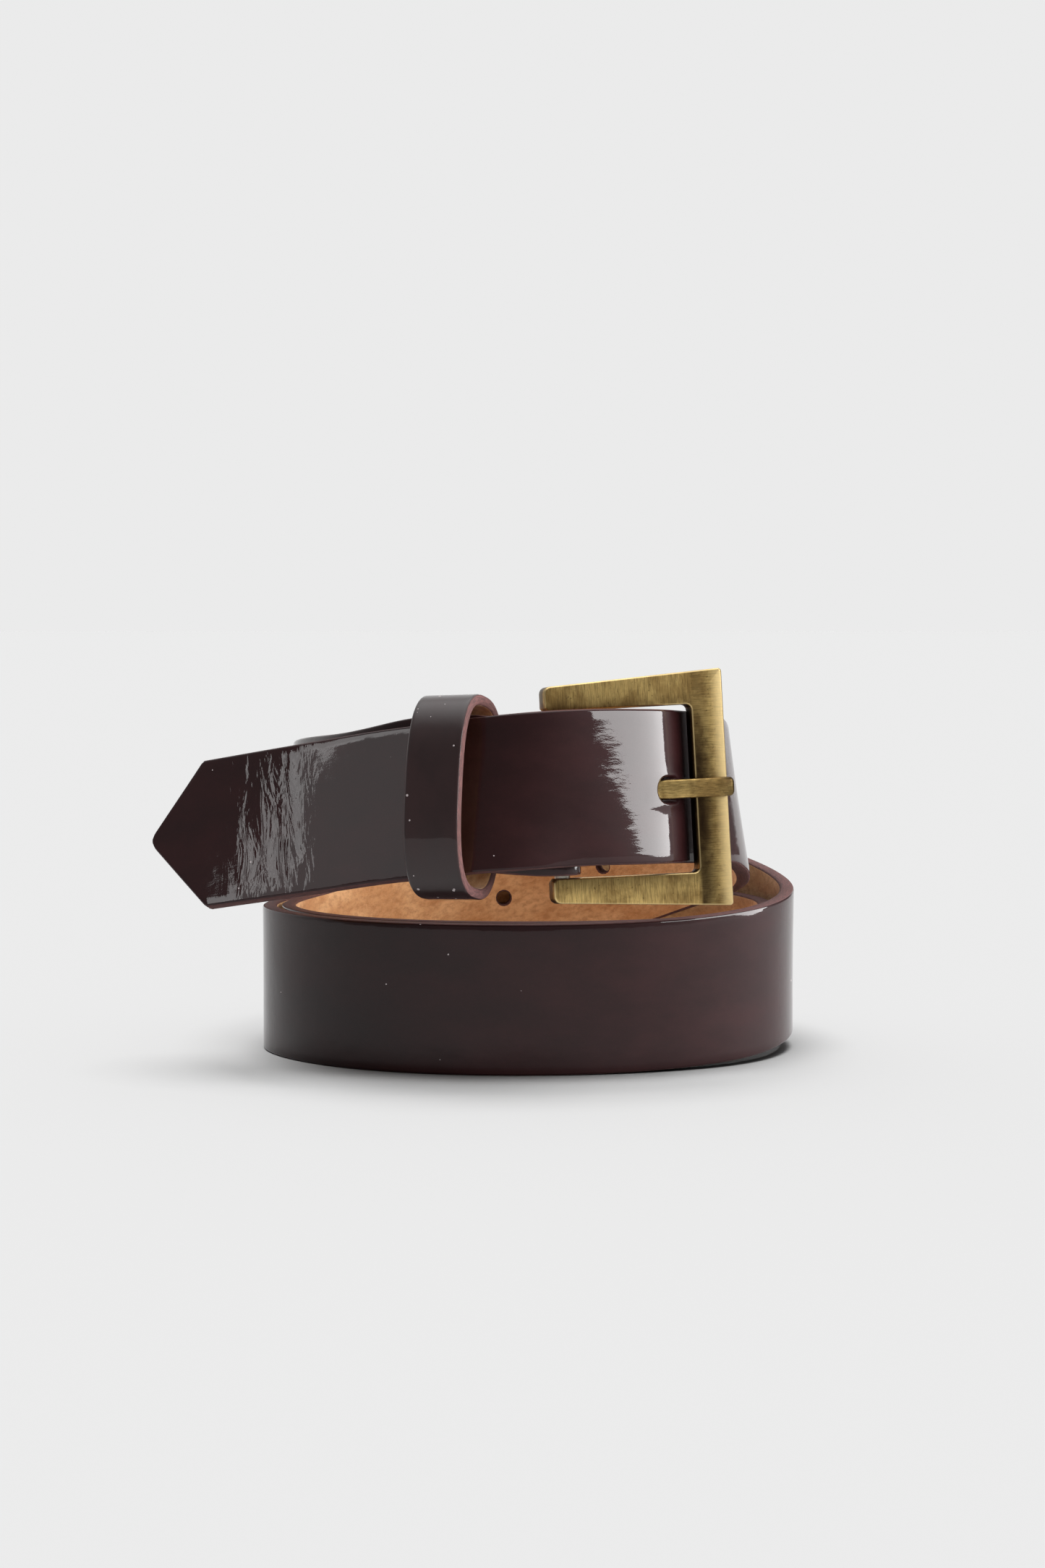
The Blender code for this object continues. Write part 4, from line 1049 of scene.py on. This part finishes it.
def make_camera():
    camera = bpy.data.cameras.new("camera")
    camera.sensor_fit = "VERTICAL"
    camera.sensor_height = PICTURE_HEIGHT
    camera.lens = CAMERA_LENS
    camera.clip_start = 0.01
    placed = bpy.data.objects.new("camera", camera)
    placed.location = COIL_CENTRE + CAMERA_PLACE
    placed.rotation_euler = (math.pi / 2 - CAMERA_PITCH, 0, 0)
    bpy.context.scene.collection.objects.link(placed)
    bpy.context.scene.camera = placed


def make_floor():
    bpy.ops.mesh.primitive_plane_add(size=FLOOR_SIZE)
    floor = bpy.context.object
    floor.name = "floor"
    material = bpy.data.materials.new("floor")
    material.use_nodes = True
    shader = material.node_tree.nodes["Principled BSDF"]
    shader.inputs["Base Color"].default_value = (FLOOR_SHADE, FLOOR_SHADE, FLOOR_SHADE, 1)
    shader.inputs["Roughness"].default_value = 1.0
    shader.inputs["Specular IOR Level"].default_value = 0.0
    floor.data.materials.append(material)
    floor.location.z = -FLOOR_DROP
    return floor


def make_world():
    """A pale backdrop for the eye, and for the light a room that is dimmer in front and bright above."""
    world = bpy.data.worlds.new("studio")
    bpy.context.scene.world = world
    world.use_nodes = True
    tree = world.node_tree
    tree.nodes.clear()

    def add(kind, inputs=(), **settings):
        node = tree.nodes.new(kind)
        for name, value in settings.items():
            setattr(node, name, value)
        for socket, value in dict(inputs).items():
            if isinstance(value, bpy.types.NodeSocket):
                tree.links.new(value, node.inputs[socket])
            else:
                node.inputs[socket].default_value = value
        return node

    def ramp(value, start, finish, low, high):
        inputs = {"Value": value, "From Min": start, "From Max": finish, "To Min": low, "To Max": high}
        return add("ShaderNodeMapRange", inputs, interpolation_type="SMOOTHSTEP").outputs[0]

    direction = add("ShaderNodeTexCoord").outputs["Generated"]
    parts = add("ShaderNodeSeparateXYZ", {0: direction})
    toward = {0: direction, 1: DARK_SIDE.normalized()}
    toward = add("ShaderNodeVectorMath", toward, operation="DOT_PRODUCT").outputs["Value"]
    sides = {0: ramp(parts.outputs["Y"], *ROOM_BEHIND), 1: ramp(toward, *ROOM_DARK)}
    sides = add("ShaderNodeMath", sides, operation="MULTIPLY")
    total = {0: sides.outputs[0], 1: ramp(parts.outputs["Z"], *ROOM_ABOVE)}
    total = add("ShaderNodeMath", total, operation="ADD")
    studio = add("ShaderNodeBackground", {"Color": (1, 1, 1, 1), "Strength": total.outputs[0]})
    backdrop = add("ShaderNodeBackground", {"Color": (1, 1, 1, 1), "Strength": BACKDROP})
    seen = add("ShaderNodeLightPath").outputs["Is Camera Ray"]
    mixed = add("ShaderNodeMixShader", {0: seen, 1: studio.outputs[0], 2: backdrop.outputs[0]})
    add("ShaderNodeOutputWorld", {"Surface": mixed.outputs[0]})


def lit_by(name, objects):
    """A collection of the objects that one light reaches."""
    lit = bpy.data.collections.new(f"lit_by_{name}")
    for member in objects:
        lit.objects.link(member)
    return lit


def make_softbox(name, place, size, radiance, roll, lit):
    """A softbox at (azimuth, elevation), aimed at the belt; azimuth 0 is in front, 90 to the right."""
    light = bpy.data.lights.new(name, "AREA")
    light.shape = "RECTANGLE"
    light.size, light.size_y = size
    light.energy = radiance * math.pi * light.size * light.size_y
    placed = bpy.data.objects.new(name, light)
    azimuth, elevation = (math.radians(angle) for angle in place)
    level = math.cos(elevation)
    way = Vector((math.sin(azimuth) * level, -math.cos(azimuth) * level, math.sin(elevation)))
    placed.location = way * SOFTBOX_DISTANCE
    aimed = way.to_track_quat("Z", "Y").to_matrix().to_4x4()
    placed.rotation_euler = (Matrix.Rotation(math.radians(roll), 4, way) @ aimed).to_euler()
    bpy.context.scene.collection.objects.link(placed)
    placed.light_linking.receiver_collection = lit_by(name, lit)


def make_overhead(floor):
    """The broad light above that gives the floor its short, soft shadows."""
    light = bpy.data.lights.new("overhead", "SUN")
    light.angle = OVERHEAD_ANGLE
    light.energy = OVERHEAD
    placed = bpy.data.objects.new("overhead", light)
    bpy.context.scene.collection.objects.link(placed)
    placed.light_linking.receiver_collection = lit_by("overhead", [floor])


def main():
    bpy.context.scene.view_settings.view_transform = "Standard"
    make_camera()
    route = Route(strap_stations())
    buckle = buckle_matrix()
    hinge_at = route.nearest(by_hand(*FREE_END[HINGE_STATION])) - HINGE_LEAD
    hole_at = route.nearest(on_buckle(*THROUGH_BUCKLE[HOLE_STATION]))
    keeper_at = route.nearest(by_hand(*FREE_END[KEEPER_STATION])) + KEEPER_ALONG
    edge, flesh = cut_edge("cut edge"), flesh_side("flesh side")
    strap_finishes = [patent_leather("patent leather"), edge, flesh]
    keeper_finishes = [patent_leather("keeper leather", keeper=True), edge, flesh]
    free_end, coil = make_strap(route, keeper_at, hinge_at, hole_at, strap_finishes)
    keeper = make_keeper(keeper_place(route, keeper_at), keeper_finishes)
    plate = make_frame(buckle, antique_brass("antique brass"))
    prong = make_prong(buckle, antique_brass("prong brass", prong=True))
    finish_cad_nodes(plain_steel("plated steel"))
    floor = make_floor()
    make_world()
    make_overhead(floor)
    lit = {"right_softbox": [free_end, coil, keeper], "buckle_softbox": [plate, prong]}
    for name, settings in SOFTBOXES.items():
        make_softbox(name, *settings, lit.get(name, [free_end]))


main()
